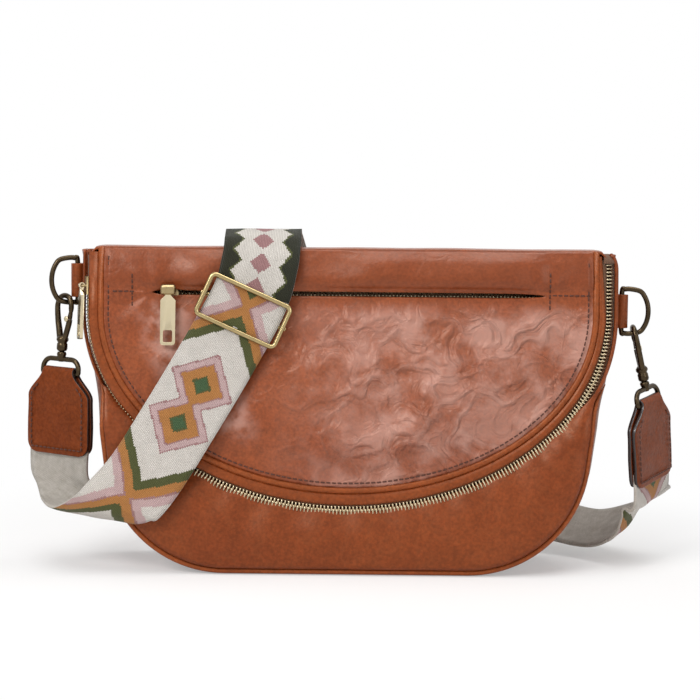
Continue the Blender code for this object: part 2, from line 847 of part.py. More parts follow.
def make_gate(label, matrix, gate_top, gate_foot, hole_radius):
    """The sprung gate that closes the hook's mouth, with a nub for the thumb."""
    wide = hook_half_width - hole_radius
    pivot = (hole_radius + wide * 0.1, gate_foot + gap + wide * 0.6)
    slope = (hook_half_width - wide * 0.62, gate_top - gap)
    outline = arc(pivot, wide * 0.55, 180, 360, 7)
    outline += [(slope[0] + wide * 0.45, slope[1] - wide), (slope[0] + wide * 0.3, slope[1])]
    outline += [(slope[0] - wide * 0.35, slope[1])]
    turned = matrix @ Matrix.Translation((*pivot, 0))
    local = [(x - pivot[0], y - pivot[1]) for x, y in outline]
    gate = finish("gate_" + label, plate(local, hook_thickness - 2 * gap, (), turned), antique)
    centred(gate, turned.translation)
    high = hook_thickness / 2
    points = [turned @ Vector((0, 0, z)) for z in (high + gap, high + gap + rivet_radius * 0.5)]
    head = tube(points, rivet_radius, 10)
    finish("rivet_" + label, head, pale_gold)


def make_swivel(label, matrix, neck_foot, across):
    """A pin that turns in the hook's neck and carries the eye for the strap's end."""
    up = matrix.to_3x3().col[1]
    top = matrix @ Vector((0, neck_foot - gap, 0))
    across = Vector(across)
    frame = frame_of(top, across - up * across.dot(up), up)
    half, high = eye_width / 2 - wire / 2, eye_height - wire
    collar = neck_radius * 0.9
    drop = -collar - wire / 2
    wide, tight = high * 0.5, high * 0.15
    points = arc((half - wide, drop - wide), wide, 0, 90, 5)
    points += arc((wide - half, drop - wide), wide, 90, 180, 5)
    points += arc((tight - half, drop - high + tight), tight, 180, 270, 3)
    points += arc((half - tight, drop - high + tight), tight, 270, 360, 3)
    line = [frame @ Vector((x, y, 0)) for x, y in points]
    made = finish("swivel_" + label, tube(line, wire / 2, 8, ring=True), antique)
    stem = tube([frame @ Vector((0, y, 0)) for y in (0, drop)], collar, 10)
    cut(made, stem, "UNION")
    pin_top = neck_length + neck_radius * 0.4
    pin = tube([frame @ Vector((0, y, 0)) for y in (pin_top, drop)], pin_radius, 10)
    cut(made, pin, "UNION")
    centred(made, top)
    bar = frame @ Vector((0, drop - high, 0))
    return frame_of(bar, frame.to_3x3().col[0], (0, 0, 1))


def make_end_tab(label, frame):
    """The leather end of the strap, folded round the swivel's eye."""
    half_top, half = tab_top_width / 2, strap_width / 2 + 0.5 * leather
    crown = tab_thickness / 2
    chamfer = 5 * mm
    low = crown - tab_length
    shoulder = crown - 0.28 * tab_length
    outline = [(half_top, 2 * crown), (-half_top, 2 * crown), (-half_top, crown / 2)]
    corner = (half - chamfer, low - chamfer / 2)
    outline += [(-half, shoulder), (-half, low + chamfer), (-corner[0], corner[1])]
    outline += [corner, (half, low + chamfer), (half, shoulder), (half_top, crown / 2)]
    side = arc((0, 0), crown, 0, 180, 9)
    side += [(-crown * 0.9, low), (crown * 0.9, low)]
    bore = arc((0, 0), wire / 2 + loop_clearance, 0, 330, 12)
    lying = frame @ Matrix(((0, 0, 1, 0), (0, 1, 0, 0), (1, 0, 0, 0), (0, 0, 0, 1)))
    made = finish("end_tab_" + label, plate(side, 2 * half, [bore], lying), cognac)
    cut(made, plate(outline, 4 * tab_thickness, (), frame), "INTERSECT")
    centred(made, frame.translation)
    places = [frame @ Vector((0, y, 0)) for y in (low - 2 * gap, low - strap_straight)]
    return [(p / mm, frame.to_3x3().col[0]) for p in places]


def make_end(label, side, z, ring_turn, hook_turn, tilt, tab_turn):
    """Everything that hangs from one side of the bag, down to the webbing's first station."""
    hang = make_ring(label, side, z, ring_turn)
    matrix, neck_foot = make_hook(label, side, hang, hook_turn, tilt)
    across = (math.cos(tab_turn), side * math.sin(tab_turn), 0)
    frame = make_swivel(label, matrix, neck_foot, across)
    return make_end_tab(label, frame)


# The strap: stations of (x, y, z) and the direction of its width, in millimetres, by hand
left_route = [
    ((-141.5, -5, 38.5), (0.87, -0.48, 0)),
    ((-137, -13.5, 31.5), (0.92, -0.38, -0.05)),
    ((-127.5, -26.5, 29), (0.97, -0.2, -0.12)),
    ((-115, -33.5, 34), (0.93, 0, -0.35)),
]
front_route = [(-101, 47, 57), (-81, 79, 58), (-64, 108, 62), (-49, 136, 70), (-44, 154, 80)]
back_route = [
    ((-43, -12, 165), (0.98, 0.1, 0)),
    ((-43, -4, 169), (0.98, 0.1, 0)),
    ((-43, 6, 169.5), (0.98, 0.12, 0)),
    ((-42, 15.5, 162), (0.98, 0.1, 0.1)),
    ((-34, 21, 140), (0.96, 0.1, 0.25)),
    ((-12, 31, 100), (0.88, 0.15, 0.45)),
    ((24, 43, 58), (0.7, 0.25, 0.66)),
    ((62, 52, 32), (0.38, 0.55, 0.74)),
    ((98, 52, 19), (0.12, 0.85, 0.5)),
    ((127, 39, 13), (0.14, 0.94, 0.3)),
]
right_route = [
    ((145, 21, 19), (0.34, 0.9, 0.27)),
    ((152, 12, 32), (0.5, 0.83, 0.24)),
]
per_step = 5


def front_stations():
    """The run across the flap, which stands off it so that the pocket's puller can pass."""
    found = []
    for x, z, rise in front_route:
        turn = math.radians(rise)
        matrix = front_frame(x * mm, z * mm, strap_stand + strap_thickness / 2)
        across = matrix.to_3x3() @ Vector((math.sin(turn), -math.cos(turn), 0))
        found.append((matrix.translation / mm, across))
    return found


def smooth_route(stations):
    """Close stations on a smooth curve through those given, in metres."""
    places = [Vector(p) * mm for p, _ in stations]
    widths = [Vector(w).normalized() for _, w in stations]
    found = []
    for k in range(len(places) - 1):
        for n in range(per_step):
            share = n / per_step
            found.append((spline(places, k, share), spline(widths, k, share)))
    found.append((places[-1], widths[-1]))
    return found


def spline(points, k, share):
    """A point between points[k] and its follower on a smooth curve."""
    a, b = points[max(k - 1, 0)], points[k]
    c, d = points[k + 1], points[min(k + 2, len(points) - 1)]
    square, cube = share * share, share * share * share
    pull = (c - a) * (share - 2 * square + cube) + (d - b) * (cube - square)
    return b * (1 - 3 * square + 2 * cube) + c * (3 * square - 2 * cube) + pull / 2


def ribbon(name, stations, first, last, askew):
    """The strap's solid between two stations, half a gap short of each. Up to the station askew
    it is drawn askew in its bend: its width keeps the direction given."""
    rows = []
    for k in range(first, last + 1):
        point, width = stations[k]
        at_end = k in (0, len(stations) - 1)
        reach = per_step if at_end else 1
        before = stations[max(k - reach, 0)][0]
        after = stations[min(k + reach, len(stations) - 1)][0]
        along = (after - before).normalized()
        square = smooth_step((k - askew) / per_step)
        across = (width - along * along.dot(width) * square).normalized()
        out = along.cross(across).normalized() * strap_thickness / 2
        side = across * strap_width / 2
        short = gap / 2 * ((k == first) - (k == last))
        middle = point + along * short
        rows.append([middle - side - out, middle + side - out, middle + side + out,
                     middle - side + out])
    return finish(name, loft(rows), webbing)


def make_strap(left_end, right_end):
    spread = left_end + left_route + front_stations() + back_route + right_route + right_end[::-1]
    stations = smooth_route(spread)
    marks = [0, len(left_end + left_route) - 1, len(front_route) + 2, len(back_route) - 2,
             len(right_route + right_end)]
    marks = [per_step * sum(marks[: k + 1]) for k in range(len(marks))]
    pieces = ("left", "front", "back", "right")
    made = [ribbon("webbing_" + piece, stations, first, last, marks[1])
            for piece, first, last in zip(pieces, marks, marks[1:])]
    centred(made[1], (0, -top_half_depth, hinge_height))


# The slide buckle
buckle_place = (-52, 130)
buckle_rise = 66
frame_corner = 3 * mm


def make_buckle():
    """A flat frame in front of the strap and a bar behind it, held by a lug at each side."""
    matrix = front_frame(buckle_place[0] * mm, buckle_place[1] * mm, strap_stand)
    matrix = matrix @ Matrix.Rotation(math.radians(buckle_rise - 90), 4, "Z")
    front = strap_thickness + gap + buckle_thickness / 2
    outline = rounded(buckle_long, buckle_high, frame_corner)
    window = rounded(buckle_long - 2 * buckle_band, buckle_high - 2 * buckle_band, frame_corner / 2)
    raised = matrix @ Matrix.Translation((0, 0, front))
    made = finish("buckle_frame", plate(outline, buckle_thickness, [window], raised), pale_gold)
    lug = buckle_bar * 0.75
    for side in (-1, 1):
        outer, inner = buckle_long / 2 - gap, buckle_long / 2 - buckle_band + gap / 2
        x = sorted((side * outer, side * inner))
        low = -gap - buckle_bar
        block = box((x[0], -lug, low), (x[1], lug, front))
        block.transform(matrix)
        cut(made, block, "UNION")
    centred(made, matrix.translation)
    half = buckle_long / 2 - buckle_band - gap / 2
    deep = -gap - buckle_bar / 2
    ends = [matrix @ Vector((side * half, 0, deep)) for side in (-1, 1)]
    bar = finish("buckle_bar", tube(ends, buckle_bar / 2, 12), pale_gold)
    centred(bar, matrix.translation)


make_back_panel()
make_gusset()
make_front_crescent()
make_top_strip()
make_piping()
make_lining()
make_main_zip()
make_flap()
make_pocket()
make_main_slider()
make_pocket_slider()
left_end = make_end("left", -1, ring_centre_left, ring_turn_left, hook_turn_left, hook_lean_left,
                    tab_turn_left)
right_end = make_end("right", 1, ring_centre_right, ring_turn_right, hook_turn_right,
                     hook_lean_right, tab_turn_right)
make_strap(left_end, right_end)
make_buckle()
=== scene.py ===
import math

import bmesh
import bpy
from mathutils import Matrix, Vector, noise


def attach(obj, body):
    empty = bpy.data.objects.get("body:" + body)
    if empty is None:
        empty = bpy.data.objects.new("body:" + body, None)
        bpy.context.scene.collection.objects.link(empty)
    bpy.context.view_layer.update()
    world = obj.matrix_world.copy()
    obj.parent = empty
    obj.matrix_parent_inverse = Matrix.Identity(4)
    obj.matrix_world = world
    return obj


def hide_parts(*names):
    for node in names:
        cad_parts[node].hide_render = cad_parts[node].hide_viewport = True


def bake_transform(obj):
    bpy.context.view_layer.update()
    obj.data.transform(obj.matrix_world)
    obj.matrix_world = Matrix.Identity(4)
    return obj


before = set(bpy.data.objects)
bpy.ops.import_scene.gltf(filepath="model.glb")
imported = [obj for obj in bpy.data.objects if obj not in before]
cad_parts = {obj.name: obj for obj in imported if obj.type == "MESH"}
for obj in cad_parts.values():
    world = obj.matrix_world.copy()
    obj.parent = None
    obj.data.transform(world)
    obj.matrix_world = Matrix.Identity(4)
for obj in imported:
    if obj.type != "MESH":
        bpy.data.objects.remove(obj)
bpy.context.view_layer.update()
mm = 0.001
gap = 0.3 * mm  # the play between neighbouring CAD pieces


def fromHex(code):
    # an sRGB hex value as a linear colour
    parts = [int(code[k : k + 2], 16) / 255 for k in (0, 2, 4)]
    return [c / 12.92 if c <= 0.04045 else ((c + 0.055) / 1.055) ** 2.4 for c in parts] + [1]


def feed(tree, node, inputs):
    # inputs go by place or by name; each is a value, or the node or socket that feeds it
    for key, value in inputs.items() if isinstance(inputs, dict) else enumerate(inputs):
        if isinstance(value, bpy.types.Node):
            value = value.outputs[0]
        if isinstance(value, bpy.types.NodeSocket):
            tree.links.new(value, node.inputs[key])
        else:
            node.inputs[key].default_value = value


def addNode(tree, kind, inputs=(), **settings):
    node = tree.nodes.new("ShaderNode" + kind)
    for key, value in settings.items():
        setattr(node, key, value)
    feed(tree, node, inputs)
    return node


def newMaterial(name):
    made = bpy.data.materials.new(name)
    made.use_nodes = True
    return made, made.node_tree, made.node_tree.nodes["Principled BSDF"]


def smoothStep(value):
    value = min(max(value, 0), 1)
    return value * value * (3 - 2 * value)


def hump(value, middle, reach):
    return math.exp(-(((value - middle) / reach) ** 2))


def wrinkle(x, y, z, size, seed=0):
    # smooth noise, about -0.5 to 0.5, whose bumps are about size across
    return noise.noise(Vector((x / size + seed, y / size, z / size)))


def sheetMesh(across, along, locate, flip=False):
    # a grid whose points are laid out by locate(across share, along share)
    mesh = bmesh.new()
    mesh.loops.layers.uv.new("UVMap")
    bmesh.ops.create_grid(mesh, x_segments=across, y_segments=along, size=0.5, calc_uvs=True)
    for v in mesh.verts:
        v.co = locate(v.co.x + 0.5, v.co.y + 0.5)
    if flip:
        bmesh.ops.reverse_faces(mesh, faces=mesh.faces)
    return mesh


def closeUp(mesh, near=0.01 * mm, fill=True):
    # merges the seam, fills the open ends and turns the faces outwards
    bmesh.ops.remove_doubles(mesh, verts=mesh.verts, dist=near)
    if fill:
        bmesh.ops.holes_fill(mesh, edges=mesh.edges, sides=0)
    bmesh.ops.recalc_face_normals(mesh, faces=mesh.faces)
    return mesh


def tubeMesh(points, radius, sides, ring=False):
    # radius is one value, or one for each point
    points = [Vector(p) for p in points]
    sizes = list(radius) if hasattr(radius, "__len__") else [radius] * (len(points) + 1)
    if ring:
        points.append(points[0].copy())
    frames, side = [], None
    for k, point in enumerate(points):
        before = points[k - 1] if k else (points[-2] if ring else point)
        after = points[k + 1] if k + 1 < len(points) else (points[1] if ring else point)
        along = (after - before).normalized()
        side = along.orthogonal() if side is None else side
        side = (side - along * side.dot(along)).normalized()
        frames.append((point, side, along.cross(side)))
    last = len(points) - 1

    def locate(u, v):
        k = min(round(v * last), last)
        point, one, two = frames[0 if ring and k == last else k]
        turn = math.tau * u
        return point + sizes[min(k, len(sizes) - 1)] * (math.cos(turn) * one + math.sin(turn) * two)

    return closeUp(sheetMesh(sides, last, locate), min(sizes) * 0.05, not ring)


def piece(name, mesh, coats, body, slot, replaces=()):
    data = bpy.data.meshes.new(name)
    mesh.to_mesh(data)
    mesh.free()
    for coat in coats if isinstance(coats, (list, tuple)) else [coats]:
        data.materials.append(coat)
    data.shade_smooth()
    made = bpy.data.objects.new(name, data)
    bpy.context.scene.collection.objects.link(made)
    if body:
        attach(made, body)
    if replaces:
        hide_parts(*([replaces] if isinstance(replaces, str) else replaces))
    return made


def soften(made, width, segments=3, angle=30):
    change = made.modifiers.new("rounding", "BEVEL")
    change.width = width
    change.segments = segments
    change.limit_method = "ANGLE"
    change.angle_limit = math.radians(angle)
    change.use_clamp_overlap = True
    return made


def thicken(made, thickness, offset=-1, backCoat=0, rimCoat=0, rounding=0):
    change = made.modifiers.new("thickness", "SOLIDIFY")
    change.thickness = thickness
    change.offset = offset
    change.use_even_offset = False
    change.material_offset = backCoat
    change.material_offset_rim = rimCoat
    if rounding:
        soften(made, rounding, 2, 60)
    return made


def refined(node, coat, body, slot, width, angle=30):
    # a merged copy of a hard CAD piece with rounded edges
    mesh = bmesh.new()
    mesh.from_mesh(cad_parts[node].data)
    bmesh.ops.remove_doubles(mesh, verts=mesh.verts, dist=0.002 * mm)
    bmesh.ops.dissolve_limit(mesh, angle_limit=math.radians(1), verts=mesh.verts, edges=mesh.edges)
    made = soften(piece(node + "_shape", mesh, coat, body, slot, node), width, 3, angle)
    made.modifiers["rounding"].harden_normals = True
    return made


def onCurve(points, at):
    # a smooth curve through the points; at 2.5 it is half way from the third to the fourth
    k = min(int(at), len(points) - 2)
    share = at - k
    a, b = points[max(k - 1, 0)], points[k]
    c, d = points[k + 1], points[min(k + 2, len(points) - 1)]
    square, cube = share * share, share * share * share
    pull = (c - a) * (share - 2 * square + cube) + (d - b) * (cube - square)
    return b * (1 - 3 * square + 2 * cube) + c * (3 * square - 2 * cube) + pull / 2


def linePlaces(points, normals, pitch, start=0.5):
    # matrices at equal steps on a line: x along it, z on its normal
    found, left = [], pitch * start
    for a, b, normal in zip(points, points[1:], normals):
        run = (b - a).length
        while left <= run:
            along = (b - a).normalized()
            out = (normal - along * normal.dot(along)).normalized()
            turned = Matrix((along, out.cross(along), out)).transposed().to_4x4()
            found.append(Matrix.Translation(a.lerp(b, left / run)) @ turned)
            left += pitch
        left -= run
    return found


def roundedBlock(name, size, rounding):
    # one small shape that is repeated many times
    mesh = bmesh.new()
    bmesh.ops.create_cube(mesh, size=1)
    bmesh.ops.scale(mesh, vec=size, verts=mesh.verts)
    edges = mesh.edges[:]
    bmesh.ops.bevel(mesh, geom=edges, offset=rounding, segments=1, profile=0.5, affect="EDGES", material=-1)
    data = bpy.data.meshes.new(name)
    mesh.to_mesh(data)
    mesh.free()
    return data


def repeated(shape, places):
    mesh = bmesh.new()
    for matrix in places:
        first = len(mesh.verts)
        mesh.from_mesh(shape)
        mesh.verts.ensure_lookup_table()
        bmesh.ops.transform(mesh, matrix=matrix, verts=mesh.verts[first:])
    return mesh


stitch = dict(size=(2.1 * mm, 0.7 * mm, 0.6 * mm), rounding=0.21 * mm, pitch=2.8 * mm, lift=0.12 * mm)
stitchShape = roundedBlock("stitchShape", stitch["size"], stitch["rounding"])


def stitchLine(name, points, normals, body):
    places = linePlaces(points, normals, stitch["pitch"])
    places = [place @ Matrix.Translation((0, 0, stitch["lift"])) for place in places]
    piece(name, repeated(stitchShape, places), thread, body, "cognac_leather")


# settings shared by many nodes; a Mix node's colours are its inputs 6 and 7 and its output 2
colours = {"data_type": "RGBA"}
overlay = {"data_type": "RGBA", "blend_type": "OVERLAY"}
eased = {"interpolation_type": "SMOOTHSTEP"}

leather = dict(
    dark="6E3013", light="8C441E", crease="9A5733", creaseTone=0.12, creaseSize=14 * mm, creaseDepth=1.2 * mm,
    rough=(0.28, 0.42), wax=0.12, shine=0.38, tint="FFC8A0", cloudSize=45 * mm, mottleSize=6 * mm,
    speckSize=1.5 * mm, poreSize=1.1 * mm, crumpled=False,
)
crumples = dict(
    # the folds: size, share of the height, direction in degrees and narrowness
    folds=((19 * mm, 1.0, 40, 0.6), (10 * mm, 0.36, -25, 0.55), (5 * mm, 0.14, 60, 0.7)), foldHeight=1.5 * mm,
    # the bend of the folds, the pinkish bloom that also paints sheen and highlight, and the sizes of its patches and
    # of the highlight's streaks
    bendSize=20 * mm, bend=0.04, bloomAndSheen="C69A8C", patchSize=22 * mm, streakSize=9 * mm,
    # where they fade in from the left and out towards the top
    left=(-50 * mm, 25 * mm), top=(126 * mm, 137 * mm),
    # the painted highlight on the rolled crescent: the flap's half ellipse, the line on it, its width and its ends;
    # then the band above the slit and how much painted shade darkens it
    half=122 * mm, shoulder=130 * mm, depth=87 * mm, rollAt=0.74, rollWide=(0.01, 0.16),
    rollEnd=(-60 * mm, -40 * mm), rollTop=(130 * mm, 138 * mm), lip=(140 * mm, 146 * mm), lipShade=0.42,
)


def crumple(tree, where, colour):
    # sharp folds in the middle and right of the flap; gives the new colour, with its painted highlight and painted
    # shade, and the folded normal
    look = crumples
    place = addNode(tree, "SeparateXYZ", [where])
    x, z = place.outputs[0], place.outputs[2]
    rightPart = addNode(tree, "MapRange", [x, *look["left"]], **eased)
    lowPart = addNode(tree, "MapRange", [z, *look["top"], 1, 0], **eased)
    area = addNode(tree, "Math", [rightPart, lowPart], operation="MULTIPLY")
    bent = addNode(tree, "TexNoise", {"Vector": where, "Scale": 1 / look["bendSize"], "Detail": 1})
    shifted = addNode(tree, "Mix", {0: look["bend"], 4: where, 5: bent.outputs["Color"]}, data_type="VECTOR")
    heights = []
    for size, share, turn, narrow in look["folds"]:
        inputs = {"Vector": shifted.outputs[1], "Angle": math.radians(turn)}
        spun = addNode(tree, "VectorRotate", inputs, rotation_type="Y_AXIS")
        drawn = addNode(tree, "VectorMath", [spun, (narrow, 1, 1)], operation="MULTIPLY")
        cells = addNode(tree, "TexVoronoi", {"Vector": drawn, "Scale": 1 / size}, feature="DISTANCE_TO_EDGE")
        heights.append(addNode(tree, "MapRange", [cells, 0, 0.2, share, 0], **eased))
    height = addNode(tree, "Math", heights[:2], operation="ADD")
    height = addNode(tree, "Math", [height, heights[2]], operation="ADD")
    spread = addNode(tree, "Math", [area, 0.9, 0.1], operation="MULTIPLY_ADD")
    raised = addNode(tree, "Math", [height, spread], operation="MULTIPLY")
    relief = addNode(tree, "Bump", {"Strength": 0.75, "Distance": look["foldHeight"], "Height": raised})
    # the pinkish bloom lies in patches and is strongest on the ridges, partly as a painted sheen and highlight on the
    # raised folds
    patches = {"Vector": where, "Scale": 1 / look["patchSize"], "Detail": 6, "Roughness": 0.6}
    cover = area
    for limits in ([addNode(tree, "TexNoise", patches), 0.36, 0.62, 0.12, 0.62], [heights[0], 0, 0.8, 0.7, 1]):
        limit = addNode(tree, "MapRange", limits, **eased)
        cover = addNode(tree, "Math", [cover, limit], operation="MULTIPLY")
    # painted highlight: the bright crescent where the hide rolls over at the left follows the flap's round edge
    across = addNode(tree, "Math", [x, look["half"]], operation="DIVIDE")
    drop = addNode(tree, "MapRange", [z, look["shoulder"], look["shoulder"] - look["depth"]], clamp=False)
    drop = addNode(tree, "Math", [drop, 0], operation="MAXIMUM")
    reach = addNode(tree, "VectorMath", [addNode(tree, "CombineXYZ", [across, drop])], operation="LENGTH")
    offLine = addNode(tree, "Math", [reach.outputs["Value"], look["rollAt"]], operation="SUBTRACT")
    offLine = addNode(tree, "Math", [offLine], operation="ABSOLUTE")
    streaks = addNode(tree, "TexNoise", {"Vector": where, "Scale": 1 / look["streakSize"], "Detail": 4})
    rollHighlight = addNode(tree, "MapRange", [offLine, *look["rollWide"], 1, 0], **eased)
    for limits in ([x, *look["rollEnd"], 1, 0], [z, *look["rollTop"], 0.8, 0], [streaks, 0.38, 0.62, 0.1, 1]):
        limit = addNode(tree, "MapRange", limits, **eased)
        rollHighlight = addNode(tree, "Math", [rollHighlight, limit], operation="MULTIPLY")
    cover = addNode(tree, "Math", [cover, rollHighlight], operation="MAXIMUM")
    # painted shade: the band above the slit is painted darker, from the slit's lip upwards
    lip = addNode(tree, "MapRange", [z, *look["lip"], 0, look["lipShade"]], **eased)
    lipShaded = addNode(tree, "Mix", {0: lip, 6: colour, 7: fromHex(leather["dark"])}, **colours)
    mixed = addNode(tree, "Mix", {0: cover, 6: lipShaded.outputs[2], 7: fromHex(look["bloomAndSheen"])}, **colours)
    return mixed.outputs[2], relief


def leatherCoat(name, **changes):
    # vegetable tanned cowhide: fine pores, soft creases and a waxed sheen
    look = {**leather, **changes}
    made, tree, shader = newMaterial(name)
    where = addNode(tree, "TexCoord").outputs["Object"]
    cloud = addNode(tree, "TexNoise", {"Vector": where, "Scale": 1 / look["cloudSize"], "Detail": 5})
    mottle = addNode(tree, "TexNoise", {"Vector": where, "Scale": 1 / look["mottleSize"], "Detail": 4})
    speck = addNode(tree, "TexNoise", {"Vector": where, "Scale": 1 / look["speckSize"], "Detail": 2})
    pores = addNode(tree, "TexVoronoi", {"Vector": where, "Scale": 1 / look["poreSize"]})
    creases = {"Vector": where, "Scale": 1 / look["creaseSize"], "Detail": 6, "Roughness": 0.62, "Distortion": 0.6}
    fold = addNode(tree, "Math", [addNode(tree, "TexNoise", creases), 0.5], operation="SUBTRACT")
    fold = addNode(tree, "Math", [fold], operation="ABSOLUTE")
    # two tones in clouds, mottled and speckled, and paler along the creases
    base = addNode(tree, "Mix", {0: cloud, 6: fromHex(look["dark"]), 7: fromHex(look["light"])}, **colours)
    grey = addNode(tree, "RGBToBW", [mottle.outputs["Color"]])
    tint = addNode(tree, "Mix", {0: 0.34, 6: base.outputs[2], 7: grey}, **overlay)
    strong = addNode(tree, "MapRange", [speck, 0.3, 0.7, 0.25, 0.75])
    speckled = addNode(tree, "Mix", {0: 0.4, 6: tint.outputs[2], 7: strong}, **overlay)
    worn = addNode(tree, "MapRange", [fold, 0, 0.045, look["creaseTone"], 0])
    colour = addNode(tree, "Mix", {0: worn, 6: speckled.outputs[2], 7: fromHex(look["crease"])}, **colours).outputs[2]
    relief = {"Strength": 0.35, "Distance": look["creaseDepth"], "Height": fold}
    if look["crumpled"]:
        colour, relief["Normal"] = crumple(tree, where, colour)
    low = addNode(tree, "Bump", relief)
    mid = addNode(tree, "Bump", {"Strength": 0.5, "Distance": 0.25 * mm, "Height": mottle, "Normal": low})
    fine = addNode(tree, "Bump", {"Strength": 0.28, "Distance": 0.12 * mm, "Height": pores, "Normal": mid})
    feed(tree, shader, {
        "Base Color": colour, "Roughness": addNode(tree, "MapRange", [mottle, 0.3, 0.7, *look["rough"]]),
        "Normal": fine, "Coat Weight": look["wax"], "Coat Roughness": 0.35, "Specular IOR Level": look["shine"],
        "Specular Tint": fromHex(look["tint"]),
    })
    return made


# smooth hide for the gusset, the back, the top, the flap's band and the ring loops
cognac = leatherCoat("cognacLeather")
# the front below the zip is a shade darker and has long, deep creases
frontCoat = leatherCoat("frontLeather", dark="68290F", light="84401E", creaseSize=20 * mm, creaseDepth=2 * mm)
# the flap is a softer, crumpled hide with a pinkish bloom in patches, partly a painted sheen and highlight on its
# raised folds and rolled crescent; its band above the slit is painted darker as painted shade
crumpled = leatherCoat(
    "crumpledLeather", dark="74331A", light="934B26", creaseSize=17 * mm, creaseTone=0.1, crumpled=True, wax=0.16,
    tint="FFDCC8",
)
# thin leather rolled over a cord: lighter, with small creases
pipingLeather = leatherCoat("pipingLeather", dark="793817", light="964C24", creaseSize=6 * mm, creaseTone=0.1)
# thick belt leather: darker, with hardly a crease and no wax
tabLeather = leatherCoat(
    "tabLeather", dark="602810", light="793A1A", creaseSize=8 * mm, creaseTone=0.05, wax=0.0, tint="FFB080",
    shine=0.22,
)


def plainCoat(name, hexCode, tone, toneSize, roughness, metallic, grainSize, grain, coat=0):
    # two close tones in clouds of a size, with a fine grain
    made, tree, shader = newMaterial(name)
    where = addNode(tree, "TexCoord").outputs["Object"]
    cloud = addNode(tree, "TexNoise", {"Vector": where, "Scale": 1 / toneSize, "Detail": 4})
    fine = addNode(tree, "TexNoise", {"Vector": where, "Scale": 1 / grainSize, "Detail": 3})
    mixed = addNode(tree, "Mix", {0: cloud, 6: fromHex(hexCode), 7: fromHex(tone)}, **colours)
    feed(tree, shader, {
        "Base Color": mixed.outputs[2], "Metallic": metallic, "Coat Weight": coat,
        "Roughness": addNode(tree, "MapRange", [cloud, 0.3, 0.7, roughness * 0.8, roughness * 1.2]),
        "Normal": addNode(tree, "Bump", {"Strength": grain, "Distance": 0.05 * mm, "Height": fine}),
    })
    return made


# polished nickel-brass plating: pale, warm and bright with soft handling marks
paleGold = plainCoat("paleGoldPlating", "DACDB0", "C8B893", 8 * mm, 0.22, 1, 2 * mm, 0.05)
# the buckle is plated in the same bath but more worn
buckleGold = plainCoat("buckleGold", "BCA97C", "97845C", 5 * mm, 0.2, 1, 2 * mm, 0.08)
# brass aged by dipping: dark brown in the hollows, rubbed lighter
antiqueBrass = plainCoat("antiqueBrass", "2E271F", "584A36", 3 * mm, 0.28, 1, 1.2 * mm, 0.12)
# the sliders' plating has darkened where it rubs
sliderBrass = plainCoat("sliderBrass", "8A7957", "B09D77", 4 * mm, 0.3, 1, 1.5 * mm, 0.1)
# drawn brass wire teeth, tumbled bright
toothBrass = plainCoat("zipBrass", "D0C2A6", "A99776", 2 * mm, 0.26, 1, 0.8 * mm, 0.15)
# edge paint: thick acrylic, almost black, softly glossy
edgePaint = plainCoat("edgePaint", "1A1110", "251815", 2 * mm, 0.32, 0, 1.5 * mm, 0.25, 0.3)
# bonded polyester thread, darker than the leather
thread = plainCoat("stitchThread", "3C1A0C", "542710", 1 * mm, 0.6, 0, 0.4 * mm, 0.4)
# pressed cellulose board: dull brown with short fibres
fibreBoard = plainCoat("fibreBoard", "5A4636", "6B5543", 2 * mm, 0.85, 0, 0.7 * mm, 0.5)


def wovenCoat(name, hexCode, otherHex, threadPitch):
    # plain weave: two crossed waves give the threads; a wave of scale 1 repeats every pi / 10
    made, tree, shader = newMaterial(name)
    where = addNode(tree, "TexCoord").outputs["Object"]
    wave = {"Vector": where, "Scale": 0.314 / threadPitch, "Distortion": 0.6}
    bands = [addNode(tree, "TexWave", wave, bands_direction=way).outputs["Fac"] for way in ("X", "Z")]
    both = addNode(tree, "Math", bands, operation="MAXIMUM")
    mixed = addNode(tree, "Mix", {0: both, 6: fromHex(otherHex), 7: fromHex(hexCode)}, **colours)
    bump = addNode(tree, "Bump", {"Strength": 0.5, "Distance": 0.15 * mm, "Height": both})
    feed(tree, shader, {"Base Color": mixed.outputs[2], "Normal": bump, "Roughness": 0.9, "Sheen Weight": 0.2})
    return made


yarn = dict(
    cream="EFE9E1", pink="DDBDBC", mauve="B48888", ochre="C98A4C", olive="5C6036", darkOlive="2F3020",
    green="4E6A46", reverse="BDB4A6",
)
weave = dict(
    warp=0.8 * mm, weft=0.9 * mm, period=110.5 * mm, middle=134.4 * mm, hexagon=44.5 * mm, pair=11 * mm,
    zigzag=12.5 * mm, zigzagStart=199 * mm, zigzagEnd=338 * mm, edgeStart=9.2 * mm, edgeShift=6 * mm,
    # the sizes of fuzz, wear and floats, and the colour of the painted shade between threads and of the dust
    fuzzSize=0.9 * mm, wearSize=6 * mm, floatSize=4 * mm, threadShadeAndGrime="5E564C",
    # how far the bands reach on the hexagons and on the zigzag, in millimetres
    hexagonReach=81, zigzagReach=61,
    # the flat bands of colour: where each starts, in millimetres from its line, and its yarn
    near=((0, "green"), (3.8, "olive"), (5.2, "ochre"), (11.6, "mauve"), (12.4, "pink"), (16.2, "mauve"),
          (17.2, "cream")),
    wide=((0, "cream"), (44.5, "olive"), (50.4, "ochre"), (56.6, "mauve"), (57.6, "pink"), (63.5, "cream")),
    spot=((0, "mauve"), (5.2, "cream")),
    border=((0, "cream"), (15.2, "olive"), (16.4, "darkOlive")),
)


def yarnBands(tree, source, bands, reach):
    scaled = addNode(tree, "Math", [source, reach * mm], operation="DIVIDE")
    made = addNode(tree, "ValToRGB", [scaled])
    stops = made.color_ramp.elements
    made.color_ramp.interpolation = "CONSTANT"
    while len(stops) > 1:
        stops.remove(stops[-1])
    for k, (start, name) in enumerate(weave[bands]):
        stop = stops.new(start / reach) if k else stops[0]
        stop.position = start / reach
        stop.color = fromHex(yarn[name])
    return made


